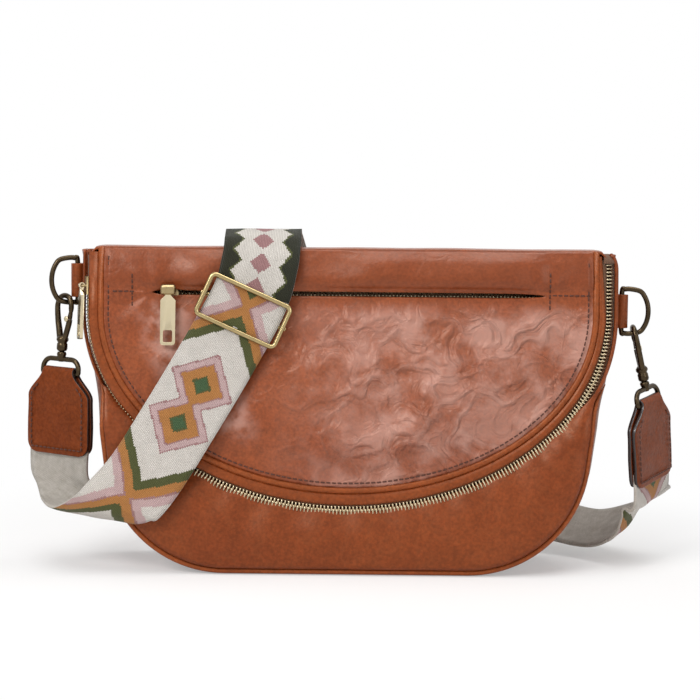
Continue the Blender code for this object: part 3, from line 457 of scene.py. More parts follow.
def wovenPattern(tree, sums):
    # hexagons, and one run of zigzag; every line is drawn in steps of one thread, so its edges are jagged
    made = []
    for share, first, second, reach in (
        ("beyond", "near", "wide", weave["hexagonReach"]), ("side", "spot", "border", weave["zigzagReach"])
    ):
        inner, outer = (yarnBands(tree, sums[name], name, reach) for name in (first, second))
        made.append(addNode(tree, "Mix", {0: sums[share], 6: inner, 7: outer}, **colours).outputs[2])
    return addNode(tree, "Mix", {0: sums["inRun"], 6: made[0], 7: made[1]}, **colours).outputs[2]


def webbingCoat(name, patterned):
    # a jacquard cotton strap: ribs of warp, with a knuckle where each weft passes over, painted shade in the hollows
    # between the threads, dusty and a little worn
    made, tree, shader = newMaterial(name)
    where = addNode(tree, "UVMap").outputs[0]
    place = addNode(tree, "SeparateXYZ", [where])
    fuzz = addNode(tree, "TexNoise", {"Vector": where, "Scale": 1 / weave["fuzzSize"], "Detail": 3})
    worn = addNode(tree, "TexNoise", {"Vector": where, "Scale": 1 / weave["wearSize"], "Detail": 4})
    warp, weft = weave["warp"], weave["weft"]
    steps = [
        ("rib", "PINGPONG", "across", warp / 2), ("rib", "DIVIDE", "rib", warp / 2),
        ("course", "DIVIDE", "across", warp), ("course", "FLOOR", "course"), ("odd", "MODULO", "course", 2),
        ("beat", "MULTIPLY_ADD", "odd", weft / 2, "along"), ("beat", "PINGPONG", "beat", weft / 2),
        ("beat", "DIVIDE", "beat", weft / 2), ("beat", "MULTIPLY_ADD", "beat", 0.6, 0.4),
        ("knuckle", "MULTIPLY", "rib", "beat"), ("shade", "SUBTRACT", 1, "knuckle"),
        ("shade", "MULTIPLY_ADD", "shade", 0.5, -0.17), ("shade", "MULTIPLY_ADD", "fuzz", 0.22, "shade"),
        ("shade", "MULTIPLY_ADD", "worn", 0.22, "shade"), ("height", "MULTIPLY_ADD", "fuzz", 0.3, "knuckle"),
    ]
    if patterned:
        steps += [
            ("a", "SNAP", "across", warp), ("a", "ABSOLUTE", "a"), ("s", "SNAP", "along", weft),
            ("fold", "SUBTRACT", "s", weave["middle"]), ("fold", "PINGPONG", "fold", weave["period"] / 2),
            ("wide", "ADD", "a", "fold"), ("beyond", "GREATER_THAN", "wide", weave["hexagon"]),
            ("near", "SUBTRACT", "fold", weave["pair"]), ("near", "ABSOLUTE", "near"), ("near", "ADD", "a", "near"),
            ("tooth", "PINGPONG", "s", weave["zigzag"] / 2), ("spot", "ADD", "a", "tooth"),
            ("line", "MULTIPLY_ADD", "tooth", -0.75, "a"), ("side", "GREATER_THAN", "line", weave["edgeStart"]),
            ("border", "ADD", "line", weave["edgeShift"]), ("past", "GREATER_THAN", "along", weave["zigzagStart"]),
            ("short", "LESS_THAN", "along", weave["zigzagEnd"]), ("inRun", "MULTIPLY", "past", "short"),
        ]
    sums = {"across": place.outputs[0], "along": place.outputs[1], "fuzz": fuzz, "worn": worn}
    for result, operation, *items in steps:
        sums[result] = addNode(tree, "Math", [sums.get(item, item) for item in items], operation=operation)
    if patterned:
        colour = wovenPattern(tree, sums)
    else:
        floats = addNode(tree, "TexNoise", {"Vector": where, "Scale": 1 / weave["floatSize"], "Detail": 2})
        tones = {0: floats, 6: fromHex(yarn["reverse"]), 7: fromHex(yarn["cream"])}
        colour = addNode(tree, "Mix", tones, **colours).outputs[2]
    # painted shade darkens the hollows between the threads, and noise adds dust and wear
    shaded = {0: sums["shade"], 6: colour, 7: fromHex(weave["threadShadeAndGrime"])}
    darker = addNode(tree, "Mix", shaded, data_type="RGBA", blend_type="MULTIPLY")
    bump = addNode(tree, "Bump", {"Strength": 0.8, "Distance": 0.4 * mm, "Height": sums["height"]})
    feed(tree, shader, {
        "Base Color": darker.outputs[2], "Normal": bump, "Roughness": 0.88, "Sheen Weight": 0.15,
        "Specular IOR Level": 0.25,
    })
    return made


# the strap's face, and its back and edges, where only pale yarns show
webbingPattern = webbingCoat("webbingPattern", True)
webbingReverse = webbingCoat("webbingReverse", False)
webbingEdge = webbingCoat("webbingEdge", False)
# plain weave: the light brown lining and the zips' darker tape
liningCotton = wovenCoat("liningCotton", "94735A", "6E5340", 0.7 * mm)
zipTape = wovenCoat("zipTape", "6E4A30", "4E3220", 0.6 * mm)
print("materials made")


# the bag's own sizes and the course of its main zip, as in the CAD
shape = dict(
    height=162 * mm, halfDepthBase=29 * mm, halfDepthTop=9 * mm, seamTop=133 * mm, seamBase=110.5 * mm,
    corner=58 * mm, sideBulge=6.5 * mm, topBulge=2.2 * mm, baseBulge=3.6 * mm, bulgeFrom=74 * mm, bulgeFade=56 * mm,
    topCorner=4.2 * mm, topCornerFrom=152 * mm, topCornerRun=8 * mm, leather=2 * mm, piping=3 * mm, detail=3,
)
zipLine = dict(
    half=131 * mm, depth=98 * mm, shoulder=130 * mm, closed=137.5 * mm, end=157 * mm, split=100 * mm,
    tapeInner=1.5 * mm, tapeOuter=3.8 * mm, tapeThickness=2 * mm, leftTurn=math.radians(70),
    rightTurn=math.radians(35), turnLow=84 * mm, turnHigh=128 * mm, leftLow=35 * mm, leftHigh=96 * mm,
    closingLow=70 * mm, closingHigh=94 * mm, edge=2.8 * mm,
)
lean = math.atan((shape["halfDepthBase"] - shape["halfDepthTop"]) / shape["height"])
sideSlope = math.atan((shape["seamTop"] - shape["seamBase"]) / shape["height"])
upwards = Vector((0, math.sin(lean), math.cos(lean)))  # up and out of the leaning front
outwards = Vector((0, -math.cos(lean), math.sin(lean)))
gussetTop = shape["height"] - shape["leather"] - gap
seamStep = shape["leather"] + shape["piping"] / 2 - gap


def halfDepth(z):
    return shape["halfDepthBase"] + (shape["halfDepthTop"] - shape["halfDepthBase"]) * z / shape["height"]


def seamHalf(z):
    return shape["seamBase"] + (shape["seamTop"] - shape["seamBase"]) * z / shape["height"]


cornerRun = shape["corner"] / math.tan((math.pi / 2 + sideSlope) / 2)
cornerCentre = (seamHalf(shape["baseBulge"]) - cornerRun, shape["baseBulge"] + shape["corner"])
cornerTop = shape["baseBulge"] + cornerRun * math.cos(sideSlope)


def seamRight():
    # the back seam's right half, from the top down to the middle of the base: x, z and the way outwards
    detail = shape["detail"]
    upper, side, corner, base = 12 * detail + 1, 4 * detail, 8 * detail + 1, 3 * detail
    tilt = (math.cos(sideSlope), -math.sin(sideSlope))
    found = []
    for k in range(upper):
        z = gussetTop + (zipLine["split"] - gussetTop) * k / (upper - 1)
        found.append((seamHalf(z), z, *tilt))
    for k in range(1, side):
        z = zipLine["split"] + (cornerTop - zipLine["split"]) * k / side
        found.append((seamHalf(z), z, *tilt))
    for k in range(corner):
        turn = -sideSlope - (math.pi / 2 - sideSlope) * k / (corner - 1)
        out = (math.cos(turn), math.sin(turn))
        found.append((*(cornerCentre[n] + shape["corner"] * out[n] for n in (0, 1)), *out))
    for k in range(1, base + 1):
        found.append((cornerCentre[0] * (1 - k / base), shape["baseBulge"], 0, -1))
    return found


def zipPoint(turn):
    # a station of the zip's half ellipse: x, z and the way outwards
    x, drop = zipLine["half"] * math.cos(turn), zipLine["depth"] * math.sin(turn)
    out = Vector((x / zipLine["half"] ** 2, -drop / zipLine["depth"] ** 2)).normalized()
    return x, zipLine["shoulder"] - drop, out.x, out.y


def zipAtHeight(z):
    if z >= zipLine["shoulder"]:
        return zipLine["half"], z, 1, 0
    return zipPoint(math.asin((zipLine["shoulder"] - z) / zipLine["depth"]))


def zipRight():
    # as many stations on the main zip's right half
    upper = 12 * shape["detail"] + 1
    count = 15 * shape["detail"]
    start = math.asin((zipLine["shoulder"] - zipLine["split"]) / zipLine["depth"])
    found = [zipAtHeight(row[1]) for row in seamRight()[:upper]]
    for k in range(1, count + 1):
        found.append(zipPoint(start + (math.pi / 2 - start) * k / count))
    return found


def bothSides(right):
    left = [(-x, z, -outX, outZ) for x, z, outX, outZ in right[:-1]]
    return left + right[::-1]


zipStations = bothSides(zipRight())
seamStations = bothSides(seamRight())


def between(stations, share):
    # a station at a share of the way round, from the top left to the top right
    at = min(max(share, 0), 1) * (len(stations) - 1)
    k = min(int(at), len(stations) - 2)
    return tuple(a + (b - a) * (at - k) for a, b in zip(stations[k], stations[k + 1]))


def cornerPull(x, z):
    # how far the bag's top corners are rounded inwards
    past = min(max((z - shape["topCornerFrom"]) / shape["topCornerRun"], 0), 1)
    return -shape["topCorner"] * (1 - math.sqrt(1 - past * past)) if x > 0 else 0


def zipTurn(x, z):
    # how far the zip has turned from the front round to the side
    most = zipLine["leftTurn"] if x < 0 else zipLine["rightTurn"]
    low, high = (zipLine["leftLow"], zipLine["leftHigh"]) if x < 0 else (zipLine["turnLow"], zipLine["turnHigh"])
    return most * smoothStep((z - low) / (high - low))


def beside(station, across, out):
    # a point beside the zip's line: across it towards the body, and outwards
    x, z, outX, outZ = station
    turn = zipTurn(x, z)
    away = across * math.cos(turn) + out * math.sin(turn)
    height = z + outZ * away
    back = (zipLine["tapeOuter"] + gap + across) * math.sin(turn) - out * math.cos(turn)
    return Vector((x + outX * away + cornerPull(x, height), back - halfDepth(height), height))


def upperWeight(z):
    # 0 low on the bag, 1 where the front closes up to the zip
    return smoothStep((z - zipLine["closingLow"]) / (zipLine["closingHigh"] - zipLine["closingLow"]))


def crescentEdge(zipStation, seamStation, deep):
    # the seam between front and gusset: the bag's edge below, beside the zip above
    x, z = seamStation[:2]
    low = Vector((x, deep - halfDepth(z), z))
    high = beside(zipStation, zipLine["edge"] + 1.2 * mm, -deep)
    return low.lerp(high, upperWeight(z))


def gussetEdge(zipStation, seamStation):
    # the gusset starts a little beside and behind that seam
    turn = abs(zipTurn(*zipStation[:2]))
    aside = 2 * gap * math.sin(turn)
    behind = max(gap, seamStep - aside * math.tan(turn))
    edge = crescentEdge(zipStation, seamStation, 0)
    return edge + beside(zipStation, aside, -behind) - beside(zipStation, 0, 0)


def bulgeAt(station):
    # how far the gusset stands out half way from front to back
    z, side = station[1], abs(station[2])
    fade = smoothStep((z - shape["bulgeFrom"]) / shape["bulgeFade"])
    onSide = shape["sideBulge"] + (shape["topBulge"] - shape["sideBulge"]) * fade
    return shape["baseBulge"] + (onSide - shape["baseBulge"]) * side


# the gusset, which makes the sides and the base
gussetLook = dict(across=18, fold=0.7 * mm, foldSize=22 * mm, fullness=2.6, firmBase=8 * mm, firmFade=25 * mm)


def gussetPoint(u, v):
    # u runs from the front seam to the back, v round the bag
    look = gussetLook
    zipStation, seamStation = between(zipStations, v), between(seamStations, v)
    x, z, outX, outZ = seamStation
    start = gussetEdge(zipStation, seamStation)
    end = Vector((x + cornerPull(x, z) * 0.6, halfDepth(z) - seamStep, z))
    out = Vector((outX, 0, outZ)).normalized()
    point = start.lerp(end, u) + out * bulgeAt(seamStation) * (1 - abs(2 * u - 1) ** look["fullness"])
    loose = (1 - abs(2 * u - 1) ** 4) * smoothStep((z - look["firmBase"]) / look["firmFade"])
    soft = wrinkle(x, point.y * 1.6, z, look["foldSize"], 3)
    return point + out * loose * look["fold"] * (soft - 0.35)


stationCount = len(seamStations) - 1
gusset = sheetMesh(gussetLook["across"], stationCount, gussetPoint)
thicken(piece("gussetLeather", gusset, cognac, "bag", "cognac_leather", "gusset"), 1.8 * mm)

# the front below the zip, puckered by the zip's seam
crescentLook = dict(
    across=16, pucker=0.9 * mm, puckerReach=13 * mm, puckers=64, swell=2.8 * mm, step=2.8 * mm, fold=0.9 * mm,
    foldSize=16 * mm, fullWidth=20 * mm,
    # how strong the puckers are, and where they are stronger: share of the way round, reach and how much more
    evenly=0.6, stronger=((0.3, 0.09, 0.9), (0.72, 0.1, 0.5)),
)


def crescentPoint(u, v):
    # u runs from the zip out to the seam
    look = crescentLook
    zipStation, seamStation = between(zipStations, v), between(seamStations, v)
    below = look["step"] * (1 - upperWeight(zipStation[1]))
    inner = beside(zipStation, zipLine["edge"] - below, -below)
    outer = crescentEdge(zipStation, seamStation, 0)
    point = inner.lerp(outer, u)
    wide = (outer - inner).length
    normal = beside(zipStation, 0, 1 * mm) - beside(zipStation, 0, 0)
    normal = normal.normalized().lerp(outwards, 0.5).normalized()
    room = smoothStep(wide / look["fullWidth"])
    away = u * wide
    swell = look["swell"] * math.sin(math.pi * min(max(u, 0), 1)) ** 0.8 * room
    phase = v * look["puckers"] * math.pi + 3 * wrinkle(v * 9, 0, 0, 1)
    near = math.exp(-away / look["puckerReach"]) * smoothStep(away / (3 * mm))
    strength = look["evenly"] + sum(more * hump(v, at, reach) for at, reach, more in look["stronger"])
    pucker = look["pucker"] * near * strength * math.sin(phase)
    soft = wrinkle(point.x, 0, point.z, look["foldSize"], 8) * look["fold"] * math.sin(math.pi * u)
    return point + normal * (swell + (pucker + soft) * room)


crescent = sheetMesh(crescentLook["across"], stationCount, crescentPoint, flip=True)
thicken(piece("frontLeather", crescent, frontCoat, "bag", "cognac_leather", "front_crescent"), 1.6 * mm)
print("gusset and front made")

# the back; it lies flat near its low and high edges, each given as a height and a reach
backLook = dict(
    across=60, swell=1.8 * mm, fold=1.2 * mm, foldSize=30 * mm, low=(4 * mm, 30 * mm), high=(160 * mm, 20 * mm)
)
backRows = [row for row in seamRight() if row[1] > shape["baseBulge"] + 0.01 * mm or row[0] > cornerCentre[0] - mm]


def backSwell(x, z, side):
    # how far the back stands out; side is -1 to 1 across it
    look = backLook
    room = smoothStep((z - look["low"][0]) / look["low"][1]) * smoothStep((look["high"][0] - z) / look["high"][1])
    return (1 - side**4) * room * (look["swell"] + wrinkle(x, 0, z, look["foldSize"], 5) * look["fold"])


def backPoint(u, v):
    x, z = between(backRows, v)[:2]
    side = 2 * u - 1
    return Vector((side * x, halfDepth(z) + backSwell(side * x, z, side), z))


back = sheetMesh(backLook["across"], len(backRows) - 1, backPoint)
thicken(piece("backLeather", back, cognac, "bag", "cognac_leather", "back_panel"), 1.8 * mm)

topLook = dict(along=90, sides=24, wave=0.35 * mm, short=1.5 * mm, endRun=5 * mm, endDrop=3.5 * mm)


def topPoint(u, v):
    # a flat rounded fold of leather along the top edge
    half = shape["seamTop"] - shape["leather"] - topLook["short"]
    x = -half + 2 * half * v
    turn = math.tau * u
    deep, high = shape["halfDepthTop"] - gap / 2, shape["leather"] / 2
    cosine, sine = math.cos(turn), math.sin(turn)
    y = math.copysign(abs(cosine) ** 0.35, cosine) * deep + gap / 2
    z = shape["height"] - high + math.copysign(abs(sine) ** 0.6, sine) * high
    past = max(abs(x) - half + topLook["endRun"], 0) / topLook["endRun"]
    z -= topLook["endDrop"] * (1 - math.sqrt(max(1 - past * past, 0)))
    return Vector((x, y, z + topLook["wave"] * (wrinkle(x, 0, 0, 35 * mm, 2) - 0.3)))


topMesh = closeUp(sheetMesh(topLook["sides"], topLook["along"], topPoint))
piece("topLeather", topMesh, cognac, "bag", "cognac_leather", "top_strip")
print("back and top made")

pipingLook = dict(radius=shape["piping"] / 2, sides=12, end=97 * mm, fade=16 * mm)


def pipingLine(side):
    # -1 is the front seam, which is piped up to a height, and 1 the back seam
    found = []
    off = shape["piping"] / 2 + gap
    for zipStation, station in zip(zipStations, seamStations):
        x, z, outX, outZ = station
        point = Vector((x, halfDepth(z) - shape["leather"] / 2, z))
        if side < 0:
            if z > pipingLook["end"]:
                continue
            point = crescentEdge(zipStation, station, shape["leather"] / 2)
        found.append(point + Vector((outX, 0, outZ)) * off)
    return found


for name, side in (("frontPiping", -1), ("backPiping", 1)):
    node = "front_piping" if side < 0 else "back_piping"
    line = pipingLine(side)
    fades = [smoothStep((pipingLook["end"] - p.z) / pipingLook["fade"]) if side < 0 else 1 for p in line]
    sizes = [pipingLook["radius"] * (0.15 + 0.85 * fade) for fade in fades]
    mesh = tubeMesh(line, sizes, pipingLook["sides"])
    piece(name, mesh, pipingLeather, "bag", "piping_leather", node)


flapLook = dict(
    half=122.2 * mm, depth=86.7 * mm, top=161.4 * mm, slit=139.2 * mm, slitHalf=98 * mm, slitWide=2.4 * mm,
    across=220, topRows=18, slitRows=2, lowRows=84, swell=3.6 * mm, roll=4.5 * mm, rim=1.1 * mm, tackAt=103 * mm,
    pullerAt=-89.7 * mm, sliderRoom=0.9 * mm, calmFrom=104 * mm, sharpFrom=-40 * mm, sharpRun=60 * mm,
    # soft folds: size, height in millimetres, stretch along z and seed
    softFolds=((34 * mm, 1.6, 1, 1), (17 * mm, 0.9, 0.8, 4)),
    # sharp folds towards the right: size, height in millimetres, turn in radians and seed
    sharpFolds=((28 * mm, 1.9, 0.7, 1), (15 * mm, 0.8, -0.5, 9)),
)


def creased(x, z, size, turn, seed):
    # 1 on the ridge between two facets of crumpled leather, 0 inside a facet
    x += wrinkle(x, seed, z, 20 * mm, 3) * 5 * mm
    z += wrinkle(x, seed, z, 20 * mm, 40) * 5 * mm
    along, aside = x * math.cos(turn) + z * math.sin(turn), z * math.cos(turn) - x * math.sin(turn)
    near = noise.voronoi(Vector((along / size * 0.6, seed, aside / size)))[0]
    return 1 - smoothStep((near[1] - near[0]) / 0.45)


def flapSwell(x, z):
    # how far the leather stands off the CAD's flat face
    look = flapLook
    drop = max(zipLine["shoulder"] - z, 0) / look["depth"]
    reach = math.hypot(x / look["half"], drop)
    rim = 1 - smoothStep((reach - 0.975) / 0.025)
    room = 1 - smoothStep((reach - 0.7) / 0.26)
    puller = hump(x, look["pullerAt"], 11 * mm) * smoothStep((z - look["calmFrom"]) / (12 * mm))
    # the strap presses the leather flat where it crosses
    strapShade = hump((x + 52 * mm) * 0.82 - (z - 130 * mm) * 0.57, 0, 26 * mm)
    # the pocket's puller slides over the upper part, which stays flatter
    calm = 1 - 0.55 * smoothStep((z - look["calmFrom"]) / (14 * mm))
    level = (1 - 0.92 * strapShade) * room * calm
    folds = sum(high * wrinkle(x, 0, z * stretch, size, seed) for size, high, stretch, seed in look["softFolds"])
    sharp = sum(high * creased(x, z, size, turn, seed) for size, high, turn, seed in look["sharpFolds"])
    folds += (sharp - 0.6) * smoothStep((x - look["sharpFrom"]) / look["sharpRun"])
    # short creases spread from the tacked ends of the slit
    tack = max(hump(x, side * look["tackAt"], 16 * mm) * hump(z, look["slit"], 20 * mm) for side in (-1, 1))
    pull = math.cos(math.atan2(z - look["slit"], abs(x) - look["slitHalf"]) * 7)
    swell = (look["swell"] + folds * mm) * level + look["rim"] * rim
    swell += tack * (0.45 * mm * pull - 0.9 * mm)
    if z > look["slit"]:
        # above the slit the leather rolls over in one padded lip
        share = (z - look["slit"]) / (look["top"] - look["slit"])
        side = 1 - smoothStep((abs(x) - 80 * mm) / (36 * mm))
        band = max(math.sin(math.pi * min(max(share - 0.12, 0) / 0.88, 1) ** 0.66), 0) ** 0.8
        roll = look["roll"] * (0.9 + 0.7 * wrinkle(x, 0, 0, 45 * mm, 7)) * (1 - 0.75 * strapShade)
        soft = wrinkle(x, 0, z * 1.6, 20 * mm, 9) * 0.9 * mm * band
        edge = look["rim"] * rim * (1 - smoothStep((share - 0.7) / 0.3))
        swell = roll * band * (0.3 + 0.7 * side) + soft + edge + tack * 0.4 * mm * pull * band
    else:
        near = hump(z, look["slit"], 9 * mm) * (1 - smoothStep((abs(x) - 96 * mm) / (10 * mm)))
        swell = swell * (1 - 0.85 * near) + 0.5 * mm * near
    slider = hump(x, look["pullerAt"], 6.5 * mm) * hump(z, 139.5 * mm, 5 * mm)
    return swell * (1 - 0.6 * puller) - 1.0 * mm * slider


def flapBottom(x):
    return zipLine["shoulder"] - flapLook["depth"] * math.sqrt(max(1 - (x / flapLook["half"]) ** 2, 0))


def slitHalfHeight(x):
    reach = min(abs(x) / flapLook["slitHalf"], 0.999)
    slider = flapLook["sliderRoom"] * hump(x, flapLook["pullerAt"], 5.2 * mm)
    return flapLook["slitWide"] / 2 * math.sqrt(1 - reach**8) + slider


flapRows = flapLook["topRows"] + flapLook["slitRows"] + flapLook["lowRows"]


def flapPlace(u, v):
    # x and height of a point: level rows down to the slit, then rows that follow the round edge
    look = flapLook
    x = look["half"] * math.sin(math.pi / 2 * (2 * u - 1))
    row = v * flapRows
    high, low = look["slit"] + slitHalfHeight(x), look["slit"] - slitHalfHeight(x)
    if row <= look["topRows"]:
        return x, look["top"] + (high - look["top"]) * row / look["topRows"]
    if row <= look["topRows"] + look["slitRows"]:
        return x, high + (low - high) * (row - look["topRows"]) / look["slitRows"]
    share = (row - look["topRows"] - look["slitRows"]) / look["lowRows"]
    return x, low + (flapBottom(x) - low) * share


def flapPoint(u, v):
    x, z = flapPlace(u, v)
    return Vector((x, -halfDepth(z) - flapSwell(x, z), z))


flapMesh = sheetMesh(flapLook["across"], flapRows, flapPoint, flip=True)
inSlit = []
for face in flapMesh.faces:
    centre = face.calc_center_median()
    if abs(centre.x) < flapLook["slitHalf"] - 0.2 * mm:
        if abs(centre.z - flapLook["slit"]) < slitHalfHeight(centre.x):
            inSlit.append(face)
bmesh.ops.delete(flapMesh, geom=inSlit, context="FACES")
thicken(piece("flapLeather", flapMesh, crumpled, "flap", "cognac_leather", "flap_panel"), 1.8 * mm)


def flapOutline(grow, steps):
    found = [(flapLook["half"] + grow, flapLook["top"])]
    for k in range(steps + 1):
        turn = math.pi * k / steps
        x = (flapLook["half"] + grow) * math.cos(turn)
        found.append((x, zipLine["shoulder"] - (flapLook["depth"] + grow) * math.sin(turn)))
    return found + [(-flapLook["half"] - grow, flapLook["top"])]


off = shape["piping"] / 2 + gap
proud = shape["piping"] / 2 - 2.2 * gap
flapPipe = [(x, proud - halfDepth(z), min(z, 161.3 * mm)) for x, z in flapOutline(off - 0.3 * mm, 160)]
flapPipe = tubeMesh(flapPipe, pipingLook["radius"] + 0.15 * mm, pipingLook["sides"])
piece("flapPiping", flapPipe, pipingLeather, "flap", "piping_leather", "flap_piping")

bandLook = dict(top=159 * mm, steps=48, start=1.6, swell=0.7 * mm, sink=0.5 * mm)
bandStations = [zipPoint(math.pi / 2 * k / bandLook["steps"]) for k in range(bandLook["steps"] + 1)]
bandStations = bothSides([(zipLine["half"], bandLook["top"], 1, 0)] + bandStations)


def bandPoint(u, v):
    # the strip of leather between the flap's piping and the zip
    look, fromEdge = bandLook, bandLook["start"] * off
    station = between(bandStations, v)
    x, z = station[:2]
    drop = max(zipLine["shoulder"] - z, 0) / zipLine["depth"]
    side = math.copysign(math.sqrt(max(1 - drop * drop, 0)), x)
    nearX = (flapLook["half"] + fromEdge) * side
    nearZ = z if drop == 0 else zipLine["shoulder"] - (flapLook["depth"] + fromEdge) * drop
    start = Vector((nearX, -halfDepth(nearZ), nearZ))
    end = beside(station, -zipLine["edge"], 0)
    out = Vector((0, -1, 0.12)).normalized()
    return start.lerp(end, u) + out * (look["swell"] * math.sin(math.pi * u) - look["sink"] * (1 - u))


band = sheetMesh(6, len(bandStations) - 1, bandPoint)
thicken(piece("bandLeather", band, cognac, "flap", "cognac_leather", "flap_band"), 1.6 * mm)
print("flap made")

toothLook = dict(pitch=1.8 * mm, along=0.85 * mm, across=2.8 * mm, thick=1.9 * mm, rounding=0.25 * mm)
toothShape = roundedBlock(
    "toothShape", (toothLook["along"], toothLook["across"], toothLook["thick"]), toothLook["rounding"]
)


def chainStations():
    # finer than the leather's stations: down the left side, round the curve and up the right side
    half, end, steps = zipLine["half"], zipLine["end"], 240
    fall = zipLine["shoulder"] - end
    found = [(-half, end + fall * k / 12, -1, 0) for k in range(12)]
    for k in range(steps + 1):
        turn = math.pi * k / steps
        x, z, outX, outZ = zipPoint(turn if turn < math.pi / 2 else math.pi - turn)
        sign = -1 if turn < math.pi / 2 else 1
        found.append((sign * x, z, sign * outX, outZ))
    return found + [(half, zipLine["shoulder"] - fall * k / 12, 1, 0) for k in range(1, 13)]


chain = chainStations()


def chainRow(name, side, body, node, start):
    def tapePoint(u, v):
        station = between(chain, v)
        across = zipLine["tapeInner"] + (zipLine["tapeOuter"] - zipLine["tapeInner"]) * u
        return beside(station, side * across, -zipLine["tapeThickness"] * 0.85)

    tape = piece(name + "Tape", sheetMesh(3, 150, tapePoint, flip=side > 0), zipTape, body, "zip_brass", node)
    thicken(tape, 0.8 * mm)
    middle = side * (toothLook["across"] / 2 - 0.6 * mm)
    points, normals = [], []
    for station in chain:
        point = beside(station, middle, -zipLine["tapeThickness"] / 2 + 0.15 * mm)
        points.append(point)
        normals.append(beside(station, middle, zipLine["tapeThickness"]) - point)
    places = linePlaces(points, normals, toothLook["pitch"], start)
    # the left end of the tape carries no teeth above the slider's stop
    kept = [m for m in places if not (m.translation.x < -100 * mm and m.translation.z > zipLine["closed"])]
    piece(name + "Teeth", repeated(toothShape, kept), toothBrass, body, "zip_brass")


chainRow("zipBody", 1, "bag", "main_zip_body_row", 0.5)
chainRow("zipFlap", -1, "flap", "main_zip_flap_row", 1.0)

tapeEndLook = dict(
    top=155.5 * mm, half=3.9 * mm, lift=0.6 * mm, bend=math.radians(165), rise=4.4 * mm, back=2.4 * mm, aside=3.2 * mm
)


def tapeEndPoint(u, v):
    # the tape's spare end, folded back over the rounded corner
    look = tapeEndLook
    bend = look["bend"] * v
    start = beside((zipLine["half"], look["top"], 1, 0), (2 * u - 1) * look["half"], look["lift"])
    outer = max(u - 0.3, 0) ** 2
    rise = look["rise"] * math.sin(bend * 0.62) * (1 - 0.9 * outer)
    return start + Vector((-look["aside"] * v * outer, look["back"] * (1 - math.cos(bend)), rise))


tapeEnd = piece("zipTapeEnd", sheetMesh(8, 14, tapeEndPoint), zipTape, "bag", "zip_brass")
thicken(tapeEnd, 0.9 * mm, 0, 0, 0, 0.3 * mm)


def slitRow(name, side, node, start):
    deep = shape["leather"] + 2 * gap + 1 * mm
    half = flapLook["slitHalf"]

    def point(x, across, out):
        z = flapLook["slit"] + across
        return Vector((x, deep - halfDepth(z) - out, z))

    def tapePoint(u, v):
        return point(-half + 2 * half * v, side * (1.2 + 6.2 * u) * mm, -zipLine["tapeThickness"] * 0.4)

    tape = piece(name + "Tape", sheetMesh(4, 60, tapePoint, flip=side < 0), zipTape, "flap", "zip_brass", node)
    thicken(tape, 0.8 * mm)
    points = [point(-half + 2 * half * k / 60, side * 1.3 * mm, -3.4 * mm) for k in range(61)]
    places = linePlaces(points, [outwards] * len(points), toothLook["pitch"], start)
    piece(name + "Teeth", repeated(toothShape, places), toothBrass, "flap", "zip_brass")


slitRow("pocketZipUpper", 1, "pocket_zip_upper", 0.5)
slitRow("pocketZipLower", -1, "pocket_zip_lower", 1.0)
print("zips made")

liningLook = dict(thickness=0.8 * mm)


def sideLiningPoint(u, v):
    x, z, outX, outZ = between(seamStations[6 * shape["detail"] : -6 * shape["detail"]], v)
    inset = shape["leather"] + gap
    ends = [side * (halfDepth(z) - shape["leather"] - 2 * gap) for side in (-1, 1)]
    if z > zipLine["turnLow"]:
        ends[0] = min(ends[0] + smoothStep((z - zipLine["turnLow"]) / (8 * mm)) * 20 * mm, 0)
    y = ends[0] + (ends[1] - ends[0]) * u
    return Vector((x - outX * inset, y, z - outZ * inset))


def backLiningPoint(u, v):
    x, z, outX, outZ = between(backRows, v)
    inset = 2 * shape["leather"]
    high = min(z - outZ * inset, gussetTop - 4 * mm)
    return Vector(((2 * u - 1) * (x - outX * inset), halfDepth(high) - shape["leather"] - 2 * gap, high))


sideLining = sheetMesh(8, 120, sideLiningPoint)
backLining = sheetMesh(30, len(backRows) - 1, backLiningPoint, flip=True)
for name, mesh, node in (("side", sideLining, "side_lining"), ("back", backLining, "back_lining")):
    made = piece(name + "LiningCloth", mesh, liningCotton, "bag", "lining_cotton", node)
    thicken(made, liningLook["thickness"])

pouchLook = dict(half=98.5 * mm, top=148 * mm, low=76.5 * mm, front=5.9 * mm, deep=7.6 * mm, slack=0.8 * mm)


def pouchPoint(u, v):
    # a flat cotton bag, pinched at its edges and slack in the middle
    turn = math.tau * u
    z = pouchLook["low"] + (pouchLook["top"] - pouchLook["low"]) * v
    cosine, sine = math.cos(turn), math.sin(turn)
    x = math.copysign(abs(cosine) ** 0.25, cosine) * pouchLook["half"]
    thick = pouchLook["deep"] / 2 * (1 - abs(2 * v - 1) ** 6) * (1 - abs(x / pouchLook["half"]) ** 8) + 0.3 * mm
    y = math.copysign(min(abs(sine) * 2.2, 1), sine) * thick
    y += wrinkle(x, 0, z, 25 * mm, 6) * pouchLook["slack"] * (1 - v)
    return Vector((x, pouchLook["front"] + pouchLook["deep"] / 2 + y - halfDepth(z), z))


piece("pocketPouch", closeUp(sheetMesh(64, 24, pouchPoint)), liningCotton, "flap", "lining_cotton", "pocket_bag")
refined("base_board", fibreBoard, "bag", "stiffening_board", 0.4 * mm)
print("linings made")


def turned(profile, matrix):
    # a turned piece: the profile's radii and heights, in millimetres, spun round y
    mesh = bmesh.new()
    points = [mesh.verts.new((r * mm, y * mm, 0)) for r, y in profile]
    geom = points + [mesh.edges.new(pair) for pair in zip(points, points[1:])]
    bmesh.ops.spin(mesh, geom=geom, cent=(0, 0, 0), axis=(0, 1, 0), angle=math.tau, steps=24, use_merge=True)
    closeUp(mesh, fill=False)
    bmesh.ops.transform(mesh, matrix=matrix, verts=mesh.verts)
    return mesh


